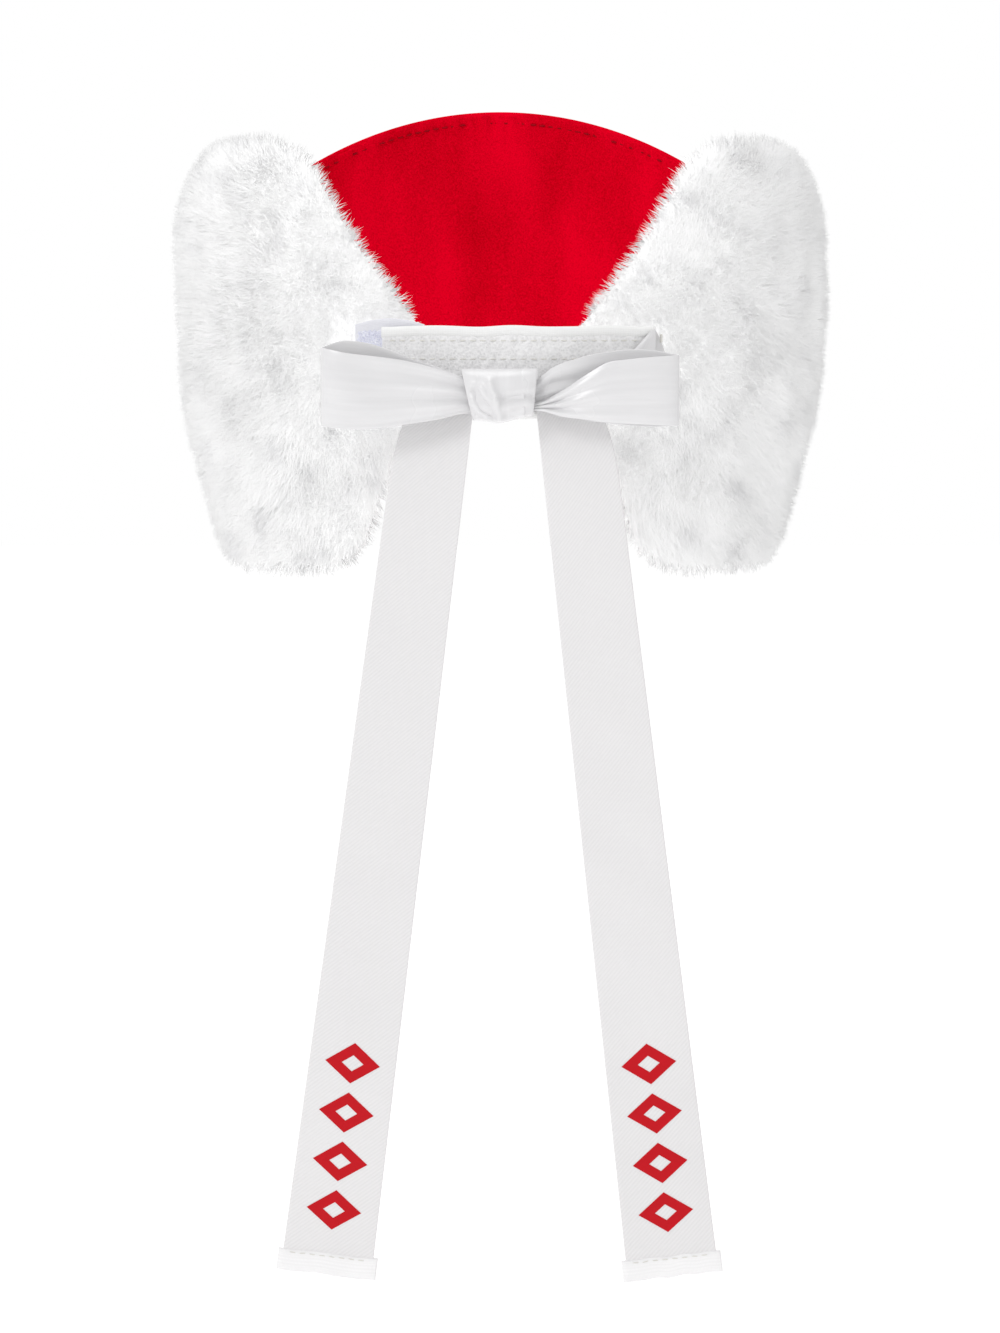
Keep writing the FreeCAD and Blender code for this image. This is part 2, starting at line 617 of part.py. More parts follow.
def tails():
    """Each tail's fixed root under the bow, the hanging ribbon, its hem, stitches and print."""
    pieces = {}
    back = BOW_BACK_Y
    for side in TAILS:
        ribbon = tail_strip(FREE, TAIL_LENGTH - HEM_HEIGHT / 2, TAIL_FRONT_Y, back)
        hem = tail_strip(TAIL_LENGTH - HEM_HEIGHT, TAIL_LENGTH, TAIL_FRONT_Y - HEM_WALL,
                         back + HEM_WALL, HEM_SIDE)
        made = {
            "tail_%s_root": tail_strip(-TAIL_ROOT_LENGTH, -FREE, TAIL_FRONT_Y, back - TOUCH),
            "tail_%s": ribbon,
            "tail_%s_hem": hem.cut(ribbon),
            "tail_%s_hem_stitches": hem_stitches(),
            "tail_%s_print": tail_print(),
        }
        for name, shape in made.items():
            pieces[name % side] = tail_place(shape, side)
    return pieces


def main():
    """Build every piece and write one STEP file each."""
    os.makedirs("parts", exist_ok=True)
    for group in (front_panel(), side_panels(), strap(), strap_seats(), bow(), tails()):
        for name, shape in group.items():
            if not shape.isValid() or shape.Volume <= 0:
                raise ValueError("%s is not a valid solid" % name)
            shape.exportStep("parts/%s.step" % name)


main()
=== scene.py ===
"""Looks of open-crown winter headwear: fur ear flaps, velvet front, back strap, satin bow and tails.

Metres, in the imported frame: +Z is up, +Y points to the forehead and -Y to the back of the head.
"""
import bmesh
import bpy
import json
import math
import numpy as np
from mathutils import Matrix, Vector
from mathutils.kdtree import KDTree


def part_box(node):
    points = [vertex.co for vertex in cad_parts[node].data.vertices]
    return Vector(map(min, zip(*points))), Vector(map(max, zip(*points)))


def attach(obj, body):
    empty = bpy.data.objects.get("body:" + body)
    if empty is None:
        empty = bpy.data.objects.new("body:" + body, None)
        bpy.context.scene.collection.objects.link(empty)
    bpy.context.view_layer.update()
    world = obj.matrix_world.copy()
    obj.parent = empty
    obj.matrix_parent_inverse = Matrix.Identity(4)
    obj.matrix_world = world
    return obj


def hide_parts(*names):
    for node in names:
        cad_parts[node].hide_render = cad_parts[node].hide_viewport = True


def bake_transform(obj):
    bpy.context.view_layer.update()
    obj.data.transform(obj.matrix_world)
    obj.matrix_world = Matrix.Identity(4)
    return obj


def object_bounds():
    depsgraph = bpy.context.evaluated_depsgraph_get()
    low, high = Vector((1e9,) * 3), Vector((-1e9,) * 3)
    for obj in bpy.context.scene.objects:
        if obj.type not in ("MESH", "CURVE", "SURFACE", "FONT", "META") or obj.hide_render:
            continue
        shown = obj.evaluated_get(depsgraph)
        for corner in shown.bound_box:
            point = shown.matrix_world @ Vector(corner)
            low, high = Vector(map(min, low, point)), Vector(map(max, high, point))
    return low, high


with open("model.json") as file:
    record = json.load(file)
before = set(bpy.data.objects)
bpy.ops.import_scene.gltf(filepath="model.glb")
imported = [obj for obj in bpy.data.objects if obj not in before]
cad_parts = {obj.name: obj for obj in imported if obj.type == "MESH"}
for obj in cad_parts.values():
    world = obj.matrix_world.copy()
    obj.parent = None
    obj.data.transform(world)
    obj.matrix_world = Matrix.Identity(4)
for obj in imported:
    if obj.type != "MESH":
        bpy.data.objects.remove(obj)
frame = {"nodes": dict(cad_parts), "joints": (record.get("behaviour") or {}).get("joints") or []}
CAD_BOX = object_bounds()
MM = 0.001

# Ring: head opening, fur tips and the strap's face are three ellipses, given by their half axes
LINING = 1.5 * MM
HEAD = (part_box("right_side_lining")[1].x - LINING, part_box("front_panel_lining")[1].y - LINING)
FUR_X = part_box("right_side_fur")[1].x
FUR_BACK = 96.0 * MM
FUR_FRONT = 79.4 * MM
STRAP_Y = -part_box("strap_face")[0].y
STRAP = (STRAP_Y + FUR_X - FUR_BACK, STRAP_Y)

# Front panel
SEAM = math.radians(37.0)
PANEL_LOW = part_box("front_panel_lining")[0].z
PANEL_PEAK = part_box("front_panel_lining")[1].z
ARCH = 137.0 * MM
WALL = 4.2 * MM
BINDING_DEPTH = 5.0 * MM
BINDING = 0.8 * MM

# Ears
CHORD_TURN = math.radians(20.0)
CHORD = (math.sin(CHORD_TURN), math.cos(CHORD_TURN))
OUTWARD = (math.cos(CHORD_TURN), -math.sin(CHORD_TURN))
EAR_REAR = -63.0 * MM
EAR_SEAM = 76.5 * MM
EAR_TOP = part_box("right_side_fur")[1].z
EAR_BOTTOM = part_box("right_flap_fur")[0].z
PILE_REACH = 6.0 * MM           # the fur stands this far proud of its backing
RIM = 0.25                      # depth of the pad's rim, from 0 at the lining to 1 at the backing

# Strap
STRAP_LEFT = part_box("strap_face")[0].x
STRAP_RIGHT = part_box("strap_face")[1].x
STRAP_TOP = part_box("strap_face")[1].z

HINGES = {joint["name"]: joint for joint in frame["joints"]}
SIDES = {"left": -1, "right": 1}
STITCH_PITCH = 3.6 * MM


# ---------------------------------------------------------------- numbers

def unit(vectors):
    """Vectors scaled to length 1."""
    return vectors / np.maximum(np.linalg.norm(vectors, axis=-1, keepdims=True), 1e-12)


def smooth(share):
    """0 to 1 with soft ends."""
    share = np.clip(share, 0.0, 1.0)
    return share * share * (3 - 2 * share)


def bulge(share):
    """Quarter circle: 0 at 0, upright there, and flat from 1 on."""
    return np.sqrt(1 - (1 - np.clip(share, 0.0, 1.0)) ** 2)


def waves(seed, scale, *axes):
    """Smooth random field between about -1 and 1, with features of that scale."""
    random = np.random.default_rng(seed)
    count = 14
    total = 0.0
    for _ in range(count):
        heading = unit(random.normal(size=len(axes)))
        pitch = scale * random.uniform(0.7, 1.8)
        turn = sum(h * axis for h, axis in zip(heading, axes)) * 2 * math.pi / pitch
        total = total + np.sin(turn + random.uniform(0, 2 * math.pi))
    return total / math.sqrt(count)


def through(knots, x):
    """Smooth curve through (x, value) knots."""
    xs, ys = np.array(knots, float).T
    slopes = np.gradient(ys, xs)
    i = np.clip(np.searchsorted(xs, x) - 1, 0, len(xs) - 2)
    step = xs[i + 1] - xs[i]
    t = np.clip((x - xs[i]) / step, 0.0, 1.0)
    start = (1 + 2 * t) * (1 - t) ** 2 * ys[i] + t * (1 - t) ** 2 * step * slopes[i]
    return start + t * t * (3 - 2 * t) * ys[i + 1] + t * t * (t - 1) * step * slopes[i + 1]


def crease(x, z, start, end, width):
    """1 on the straight line from start to end, fading to 0 beside it and past its ends."""
    run = np.subtract(end, start)
    length = math.hypot(*run)
    along = ((x - start[0]) * run[0] + (z - start[1]) * run[1]) / length
    aside = ((x - start[0]) * run[1] - (z - start[1]) * run[0]) / length
    past = np.maximum(np.maximum(-along, along - length), 0)
    return np.exp(-(aside / width) ** 2 - (past / width) ** 2)


def ellipse_y(half, x):
    """Y of the ellipse's back half at x."""
    return -half[1] * np.sqrt(1 - (x / half[0]) ** 2)


def grown(half, amount):
    """The ellipse with both half axes longer by amount."""
    return (half[0] + amount, half[1] + amount)


# ---------------------------------------------------------------- meshes

def new_piece(name, points, faces, flat=None):
    """Object from points, faces of equal corner count and, if given, the points on the flat cloth."""
    mesh = bpy.data.meshes.new(name)
    faces = np.asarray(faces, np.int32)
    mesh.vertices.add(len(points))
    mesh.vertices.foreach_set("co", np.asarray(points, np.float32).ravel())
    mesh.loops.add(faces.size)
    mesh.loops.foreach_set("vertex_index", faces.ravel())
    mesh.polygons.add(len(faces))
    starts = np.arange(0, faces.size, faces.shape[1], dtype=np.int32)
    mesh.polygons.foreach_set("loop_start", starts)
    mesh.update(calc_edges=True)
    if flat is not None:
        layer = mesh.uv_layers.new(name="flat")
        layer.uv.foreach_set("vector", np.asarray(flat, np.float32)[faces.ravel()].ravel())
    piece = bpy.data.objects.new(name, mesh)
    bpy.context.scene.collection.objects.link(piece)
    return piece


def closed(piece):
    """Weld, close open ends, turn all faces outward and shade smooth."""
    work = bmesh.new()
    work.from_mesh(piece.data)
    bmesh.ops.remove_doubles(work, verts=work.verts, dist=1e-6)
    bmesh.ops.holes_fill(work, edges=[edge for edge in work.edges if edge.is_boundary])
    bmesh.ops.recalc_face_normals(work, faces=work.faces)
    for face in work.faces:
        face.smooth = True
    work.to_mesh(piece.data)
    work.free()
    return piece


def grid_faces(rows, columns, first=0):
    """Quads of a grid of points numbered row by row."""
    corner = first + np.arange(rows - 1)[:, None] * columns + np.arange(columns - 1)
    return np.stack([corner, corner + 1, corner + columns + 1, corner + columns], -1).reshape(-1, 4)


def stations(count, length, soft):
    """Shares from 0 to 1, closer together at both ends, where the cloth's edge is rounded."""
    near = np.array([0.0, 0.12, 0.45, 1.0]) * soft / length
    inner = np.linspace(near[-1], 1 - near[-1], count)
    return np.concatenate([near[:-1], inner, 1 - near[-2::-1]])


def cloth(name, place, size, grid, thickness, soft=0.7 * MM):
    """Closed sheet of cloth. place(u, v) gives its middle surface for shares u across and v along."""
    u, v = np.meshgrid(stations(grid[0], size[0], soft), stations(grid[1], size[1], soft))
    middle = np.stack(place(u, v), -1)
    normal = unit(np.cross(np.gradient(middle, axis=1), np.gradient(middle, axis=0)))
    inset = np.minimum(np.minimum(u, 1 - u) * size[0], np.minimum(v, 1 - v) * size[1]) / soft
    half = (thickness / 2 * (0.3 + 0.7 * bulge(inset)))[..., None]
    points = np.concatenate([(middle + normal * half).reshape(-1, 3),
                             (middle - normal * half).reshape(-1, 3)])
    flat = np.stack([u * size[0], v * size[1]], -1).reshape(-1, 2)
    rows, columns = u.shape
    number = np.arange(rows * columns).reshape(rows, columns)
    border = np.concatenate([number[0], number[1:, -1], number[-1, -2::-1], number[-2::-1, 0]])
    sides = np.stack([border[:-1], border[1:], border[1:] + number.size, border[:-1] + number.size], -1)
    back = grid_faces(rows, columns, number.size)[:, ::-1]
    faces = np.concatenate([grid_faces(rows, columns), back, sides])
    return closed(new_piece(name, points, faces, np.concatenate([flat, flat])))


def roll(name, place, size, grid):
    """Closed roll. place(u, turn) gives points for the share u along and the angle around it."""
    u = np.linspace(0, 1, grid[0])
    around = np.linspace(0, 1, grid[1] + 1)
    u, around = np.meshgrid(u, around, indexing="ij")
    points = np.stack(place(u, around * 2 * math.pi), -1)
    flat = np.stack([u * size[0], around * size[1]], -1)
    faces = grid_faces(grid[0], grid[1] + 1)
    return closed(new_piece(name, points.reshape(-1, 3), faces, flat.reshape(-1, 2)))


def rounded_box(turn, half_a, half_b, power=3.0):
    """Section between an ellipse and a rectangle: two coordinates at an angle."""
    cosine, sine = np.cos(turn), np.sin(turn)
    share = 2 / power
    return (half_a * np.sign(cosine) * np.abs(cosine) ** share,
            half_b * np.sign(sine) * np.abs(sine) ** share)


def stitches(name, centres, along, outward, size, seed):
    """Row of thread stitches, each a small plump capsule lying on the cloth."""
    random = np.random.default_rng(seed)
    centres, along, outward = (np.asarray(a, float) for a in (centres, along, outward))
    side = np.cross(along, outward)
    turn, around = np.meshgrid(np.linspace(0.15, math.pi - 0.15, 6), np.linspace(0, 2 * math.pi, 9))
    shape = (-np.cos(turn) * size[0] / 2, np.sin(turn) ** 0.7 * np.cos(around) * size[1] / 2,
             np.sin(turn) ** 0.7 * np.sin(around) * size[2])
    jitter = random.normal(size=(len(centres), 1)) * 0.05
    headings = (unit(along + side * jitter), side, outward)
    points = centres[:, None, :] + sum(s.ravel()[None, :, None] * h[:, None, :]
                                       for s, h in zip(shape, headings))
    one = grid_faces(*turn.shape)
    faces = (one[None] + (np.arange(len(centres)) * turn.size)[:, None, None]).reshape(-1, 4)
    return closed(new_piece(name, points.reshape(-1, 3), faces))


# ---------------------------------------------------------------- materials

def add(tree, kind, inputs=None, **settings):
    """New shader node with its inputs linked or set."""
    node = tree.nodes.new("ShaderNode" + kind)
    for name, value in settings.items():
        setattr(node, name, value)
    for name, value in (inputs or {}).items():
        if isinstance(value, bpy.types.NodeSocket):
            tree.links.new(value, node.inputs[name])
        else:
            node.inputs[name].default_value = value
    return node


def noise(tree, size, drawn=1.0):
    """Noise with features of that size in metres, drawn out in height by that factor."""
    place = add(tree, "TexCoord").outputs["Object"]
    place = add(tree, "Mapping", {"Vector": place, "Scale": (1, 1, 1 / drawn)}).outputs["Vector"]
    inputs = {"Vector": place, "Scale": 1 / size, "Detail": 3.0}
    return add(tree, "TexNoise", inputs).outputs["Fac"]


def yarn_lumps(tree, size):
    """Round lumps, as of looped yarn."""
    place = add(tree, "TexCoord").outputs["Object"]
    inputs = {"Vector": place, "Scale": 1 / size, "Smoothness": 0.6}
    return add(tree, "TexVoronoi", inputs, feature="SMOOTH_F1").outputs["Distance"]


def bands(tree, pitch, direction):
    """Parallel threads on the flat cloth at that pitch."""
    flat = add(tree, "UVMap", uv_map="flat").outputs["UV"]
    inputs = {"Vector": flat, "Scale": 2 * math.pi / 20 / pitch, "Distortion": 0.15}
    return add(tree, "TexWave", inputs, bands_direction=direction).outputs["Fac"]


def weave(tree, pitch):
    """Plain weave: threads both ways."""
    inputs = {0: bands(tree, pitch, "X"), 1: bands(tree, pitch, "Y")}
    return add(tree, "Math", inputs, operation="MULTIPLY").outputs["Value"]


def twill(tree, pitch):
    """Diagonal ribs."""
    return bands(tree, pitch, "DIAGONAL")


def satin_sheen_streaks(tree, size):
    """Soft streaks along the ribbon, in its relief and its colour: in the colour they are painted sheen."""
    flat = add(tree, "UVMap", uv_map="flat").outputs["UV"]
    flat = add(tree, "Mapping", {"Vector": flat, "Scale": (1, 0.06, 1)}).outputs["Vector"]
    return add(tree, "TexNoise", {"Vector": flat, "Scale": 1 / size, "Detail": 2.0}).outputs["Fac"]


PATTERN_MIDDLE = 0.95           # what mottle and relief add up to on the middle tone
ROUGHNESS_RANGE = 0.07


def cloth_material(name, dark, light, mottle, relief, size, depth, roughness, spread=0.45, drawn=1.0,
                   **sockets):
    """Cloth mottled between two colours, with a relief of that feature size and depth."""
    material = bpy.data.materials.new(name)
    material.use_nodes = True
    tree = material.node_tree
    shader = tree.nodes["Principled BSDF"]
    patches = noise(tree, mottle, drawn)
    height = relief(tree, size)
    both = add(tree, "Math", {0: patches, 1: height}, operation="ADD")
    share = add(tree, "MapRange", {"Value": both.outputs[0], "From Min": PATTERN_MIDDLE - spread,
                                   "From Max": PATTERN_MIDDLE + spread})
    colours = {"Factor": share.outputs[0], 6: (*dark, 1), 7: (*light, 1)}
    tree.links.new(add(tree, "Mix", colours, data_type="RGBA").outputs[2], shader.inputs["Base Color"])
    matt = add(tree, "MapRange", {"Value": patches, "To Min": roughness - ROUGHNESS_RANGE,
                                  "To Max": roughness + ROUGHNESS_RANGE})
    tree.links.new(matt.outputs[0], shader.inputs["Roughness"])
    bump = add(tree, "Bump", {"Height": height, "Distance": depth, "Strength": 1.0})
    tree.links.new(bump.outputs["Normal"], shader.inputs["Normal"])
    for socket, value in sockets.items():
        shader.inputs[socket.replace("_", " ")].default_value = value
    return material


def pile_material(name, colour, glow):
    """Strands of fur of one even tone, glowing by that much: painted light. The piece's tones change from
    tuft to tuft.
    """
    material = bpy.data.materials.new(name)
    material.use_nodes = True
    shader = material.node_tree.nodes["Principled BSDF"]
    shader.inputs["Base Color"].default_value = (*colour, 1)
    shader.inputs["Roughness"].default_value = 0.75
    shader.inputs["Specular IOR Level"].default_value = 0.15
    shader.inputs["Sheen Weight"].default_value = 0.8
    shader.inputs["Sheen Roughness"].default_value = 0.5
    shader.inputs["Emission Strength"].default_value = glow
    return material


# The velvet's mottle between dark and light red is painted sheen: lighter and darker patches where the nap
# catches the light
RED_DARK = (0.50, 0.0, 0.006)
RED_LIGHT = (0.81, 0.0, 0.017)
VELVET = cloth_material(
    "velvet", RED_DARK, RED_LIGHT, 26 * MM, noise, 0.7 * MM, 0.25 * MM, 0.85, spread=0.25, drawn=2.5,
    Specular_IOR_Level=0.0, Sheen_Weight=0.6, Sheen_Roughness=0.35, Sheen_Tint=(1.0, 0.02, 0.05, 1))
# The binding thread is far darker than the velvet: red thread, darkened as painted shade for the dark line
# along the seam under the binding
RED_THREAD = cloth_material(
    "red_thread_twist", (0.20, 0.0, 0.003), (0.40, 0.0, 0.008), 2 * MM, noise, 0.3 * MM, 0.05 * MM, 0.7,
    Specular_IOR_Level=0.1)
# The thread's beige is its own colour; its greyness is partly painted shade of the sunken stitch lines
WHITE_THREAD = cloth_material(
    "white_thread_twist", (0.66, 0.65, 0.61), (0.78, 0.77, 0.73), 2 * MM, noise, 0.3 * MM, 0.05 * MM, 0.6)
# The satin's colour follows its streaks: painted sheen along the ribbon
SATIN = cloth_material(
    "satin", (0.68, 0.675, 0.685), (0.75, 0.745, 0.755), 30 * MM, satin_sheen_streaks, 1.8 * MM, 0.12 * MM, 0.26,
    Specular_IOR_Level=0.7, Sheen_Weight=0.1)
TWILL = cloth_material(
    "ribbon_weave", (0.725, 0.715, 0.72), (0.765, 0.755, 0.76), 40 * MM, twill, 0.8 * MM, 0.04 * MM, 0.7,
    Specular_IOR_Level=0.3, Sheen_Weight=0.2)
HEM = cloth_material(
    "hem_weave", (0.84, 0.835, 0.84), (0.90, 0.895, 0.90), 12 * MM, weave, 0.5 * MM, 0.03 * MM, 0.7,
    Specular_IOR_Level=0.3, Sheen_Weight=0.2)
BOUCLE = cloth_material(
    "boucle", (0.74, 0.735, 0.74), (0.90, 0.895, 0.90), 6 * MM, yarn_lumps, 0.9 * MM, 0.3 * MM, 0.85,
    Specular_IOR_Level=0.1, Sheen_Weight=0.3)
TAPE = cloth_material(
    "folded_tape", (0.84, 0.84, 0.835), (0.90, 0.90, 0.895), 10 * MM, weave, 0.6 * MM, 0.06 * MM, 0.65,
    Specular_IOR_Level=0.3, Sheen_Weight=0.2)
COTTON = cloth_material(
    "cotton", (0.74, 0.74, 0.72), (0.84, 0.84, 0.82), 8 * MM, weave, 0.7 * MM, 0.10 * MM, 0.85,
    Specular_IOR_Level=0.1)
FELT = cloth_material(
    "felt", (0.80, 0.80, 0.79), (0.90, 0.90, 0.89), 3 * MM, noise, 0.4 * MM, 0.15 * MM, 0.9,
    Specular_IOR_Level=0.1)
LAVENDER = cloth_material(
    "lavender_loops", (0.62, 0.63, 0.78), (0.86, 0.87, 0.95), 2 * MM, yarn_lumps, 0.6 * MM, 0.4 * MM, 0.9,
    Specular_IOR_Level=0.1, Sheen_Weight=0.4)
LAVENDER_CLOTH = cloth_material(
    "lavender_tab", (0.76, 0.76, 0.81), (0.84, 0.84, 0.88), 6 * MM, weave, 0.5 * MM, 0.08 * MM, 0.8,
    Specular_IOR_Level=0.2)
HOOKS = cloth_material(
    "hook_tape_pile", (0.62, 0.62, 0.62), (0.82, 0.82, 0.82), 4 * MM, yarn_lumps, 0.9 * MM, 0.6 * MM, 0.45)
INK = cloth_material(
    "red_ink_print", (0.50, 0.0, 0.006), (0.62, 0.0, 0.012), 5 * MM, twill, 0.9 * MM, 0.05 * MM, 0.55,
    Specular_IOR_Level=0.2)
# The backing glows, though it is no lamp: painted light for the light scattered through the fur above it
BACKING = cloth_material(
    "fur_backing", (0.90, 0.90, 0.905), (0.96, 0.96, 0.96), 8 * MM, noise, 1.2 * MM, 0.5 * MM, 0.9,
    Specular_IOR_Level=0.05, Sheen_Weight=0.3, Emission_Strength=0.28)

# The glow of each tone stands for the light that scatters on from strand to strand: painted light. It
# differs by tone, so tufts are painted lighter and darker at random
FUR_TONES = [pile_material("fur_bright", (0.98, 0.98, 0.98), 0.37),
             pile_material("fur_soft", (0.96, 0.96, 0.965), 0.31),
             pile_material("fur_deep", (0.92, 0.92, 0.93), 0.23)]


def dressed(piece, material):
    """The piece wears one material."""
    piece.data.materials.clear()
    piece.data.materials.append(material)
    return piece


def fitted(piece, material, slot, body, *nodes):
    """The piece wears a material, rides on a body and stands for CAD nodes."""
    dressed(piece, material)
    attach(piece, body)
    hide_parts(*nodes)
    return piece


# ---------------------------------------------------------------- front velvet panel

def arch_height(x):
    """Height of the panel's arched top edge at x."""
    return PANEL_PEAK - ARCH + np.sqrt(ARCH ** 2 - x ** 2)


def panel_plan(offset, angle):
    """X and Y of the front panel's wall, at a distance outside the head opening."""
    radius = 1 / np.hypot(np.cos(angle) / (HEAD[0] + offset), np.sin(angle) / (HEAD[1] + offset))
    return radius * np.cos(angle), radius * np.sin(angle)


def panel_angle(u):
    """Direction for a share of the way round the front panel, from its right end."""
    return SEAM + u * (math.pi - 2 * SEAM)


def velvet_swell(x, z):
    """How far the lining velvet stands into the opening: upright folds, a dent and puckers at the seam.

    All its heights are in millimetres, and it lies flat behind the sweatband.
    """
    below_seam = arch_height(x) - BINDING_DEPTH - z
    folds = 0.7 * waves(3, 42 * MM, x, 0.25 * z) + 0.25 * waves(4, 20 * MM, x, 0.5 * z)
    pucker = np.exp(-below_seam / (5 * MM)) * waves(5, 5 * MM, x, 0.2 * z)
    dent = crease(x, z, (30 * MM, 50 * MM), (34 * MM, 86 * MM), 7 * MM)
    free = smooth((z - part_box("sweatband")[1].z) / (12 * MM))
    swell = np.maximum(0.9 + folds - 1.2 * dent + 0.6 * pucker, -0.4)
    return (0.1 + swell * free) * MM


def panel_sheet(name, offset, thickness, swell):
    """One velvet sheet of the front panel."""
    def place(u, v):
        angle = panel_angle(u)
        x, _ = panel_plan(offset, angle)
        z = PANEL_LOW + v * (arch_height(x) - 0.5 * MM - PANEL_LOW)
        x, y = panel_plan(offset - swell(x, z), angle)
        return x, y, z
    return cloth(name, place, PANEL_SIZE, (120, 70), thickness)


def binding_place(u, turn):
    """Rolled velvet binding over the panel's top edge, drawn in between its stitches."""
    out, up = rounded_box(turn, WALL / 2 + BINDING, (BINDING_DEPTH + BINDING) / 2)
    angle = panel_angle(u)
    x, _ = panel_plan(WALL / 2, angle)
    out = out * (1 + 0.10 * waves(6, 6 * MM, x) * (0.5 - 0.5 * np.sin(turn)))
    up = up + 0.35 * MM * waves(7, 7 * MM, x) * (0.5 - 0.5 * np.sin(turn))
    x, y = panel_plan(WALL / 2 + out, angle)
    return x, y, arch_height(x) + up + (BINDING - BINDING_DEPTH) / 2


def binding_thread():
    """Stitches along the binding's lower edge, on the inside of the panel."""
    half = panel_plan(0, SEAM)[0] - STITCH_PITCH
    x = np.arange(-half, half, STITCH_PITCH)
    face = grown(HEAD, -BINDING - 0.1 * MM)
    y = -ellipse_y(face, x)
    z = arch_height(x) - BINDING_DEPTH + 1.1 * MM
    along = unit(np.stack([np.ones_like(x), -x * face[1] ** 2 / (face[0] ** 2 * y), -x / ARCH], -1))
    outward = unit(np.stack([-x / face[0] ** 2, -y / face[1] ** 2, 0 * x], -1))
    return stitches("binding_thread", np.stack([x, y, z], -1), along, outward,
                    (2.6 * MM, 0.7 * MM, 0.35 * MM), 11)


def sweatband_place(u, v):
    """Cotton band inside the panel's lower edge."""
    angle = panel_angle(u)
    low, high = (corner.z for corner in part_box("sweatband"))
    z = low + v * (high - low)
    x, _ = panel_plan(0, angle)
    x, y = panel_plan(-0.9 * MM - 0.25 * MM * waves(8, 14 * MM, x, z), angle)
    return x, y, z


PANEL_SIZE = (172 * MM, 112 * MM)
BAND_SIZE = (166 * MM, 26 * MM)


def front_panel():
    """Velvet both sides, binding, thread and sweatband."""
    inner = panel_sheet("velvet_inner", LINING / 2, LINING, velvet_swell)
    fitted(inner, VELVET, "red_velvet", "crown", "front_panel_lining")
    outer = panel_sheet("velvet_outer", WALL - LINING / 2, LINING,
                        lambda x, z: -0.4 * MM * (1 + waves(9, 30 * MM, x, 0.5 * z)))
    fitted(outer, VELVET, "red_velvet", "crown", "front_panel_velvet")
    binding = roll("velvet_binding", binding_place, (PANEL_SIZE[0], 17 * MM), (260, 20))
    fitted(binding, VELVET, "red_velvet", "crown", "front_panel_binding")
    fitted(binding_thread(), RED_THREAD, "red_thread", "crown", "front_binding_stitches")
    band = cloth("sweatband_cloth", sweatband_place, BAND_SIZE, (110, 16), 1.1 * MM)
    fitted(band, COTTON, "sweatband_cotton", "crown", "sweatband")


# ---------------------------------------------------------------- ears

def across_chord(half_x, back_y, front_y, s):
    """Distance of an ellipse from the Z axis square to the ear's chord, at s along the chord."""
    def to(half_y):
        a = (OUTWARD[0] / half_x) ** 2 + (OUTWARD[1] / half_y) ** 2
        b = 2 * s * (CHORD[0] * OUTWARD[0] / half_x ** 2 + CHORD[1] * OUTWARD[1] / half_y ** 2)
        c = s * s * ((CHORD[0] / half_x) ** 2 + (CHORD[1] / half_y) ** 2) - 1
        return (-b + np.sqrt(np.maximum(b * b - 4 * a * c, 0))) / (2 * a)
    back = to(back_y)
    return np.where(s * CHORD[1] + back * OUTWARD[1] > 0, to(front_y), back)


def ear_outline(inset):
    """Even points round the right ear, inset from its fur tips: (along its chord, height).

    The strands lean down, so the outline is further from the tips at the top than at the bottom.
    """
    count = 200
    top = EAR_TOP - 1.3 * inset
    bottom = EAR_BOTTOM + 0.7 * inset
    rear = EAR_REAR + inset
    neck = -12 * MM
    corners = [
        (rear - 9.5 * MM, 15 * MM, 8), (rear - 9.5 * MM, -14 * MM, 14), (rear, -42 * MM, 22),
        (rear + 7 * MM, bottom, 20),
        (EAR_SEAM - 58 * MM, bottom, 34), (EAR_SEAM - 16 * MM, neck, 12), (EAR_SEAM, neck, 3),
        (EAR_SEAM, 80 * MM, 4), (EAR_SEAM - 60 * MM, top, 60), (rear + 26 * MM, top, 28),
    ]
    points = []
    for i, (s, z, radius) in enumerate(corners):
        here = np.array([s, z])
        back = unit(np.array(corners[i - 1][:2]) - here)
        ahead = unit(np.array(corners[(i + 1) % len(corners)][:2]) - here)
        half = math.acos(np.clip(back @ ahead, -1, 1)) / 2
        for t in np.linspace(0, 1, 9):
            run = radius * MM / math.tan(half)
            points.append(here + (back * (1 - t) ** 2 + ahead * t ** 2) * run)
    points = np.array(points + points[:1])
    reach = np.concatenate([[0], np.cumsum(np.linalg.norm(np.diff(points, axis=0), axis=1))])
    evenly = np.linspace(0, reach[-1], count, endpoint=False)
    return np.stack([np.interp(evenly, reach, points[:, i]) for i in (0, 1)], -1)


def ear_point(s, depth):
    """X and Y of the right ear: depth 0 is the head opening and 1 the backing under the fur tips."""
    inner = across_chord(HEAD[0], HEAD[1], HEAD[1], s)
    outer = across_chord(FUR_X - PILE_REACH, FUR_BACK - PILE_REACH, FUR_FRONT - PILE_REACH, s)
    out = inner + depth * (outer - inner)
    return s * CHORD[0] + out * OUTWARD[0], s * CHORD[1] + out * OUTWARD[1]


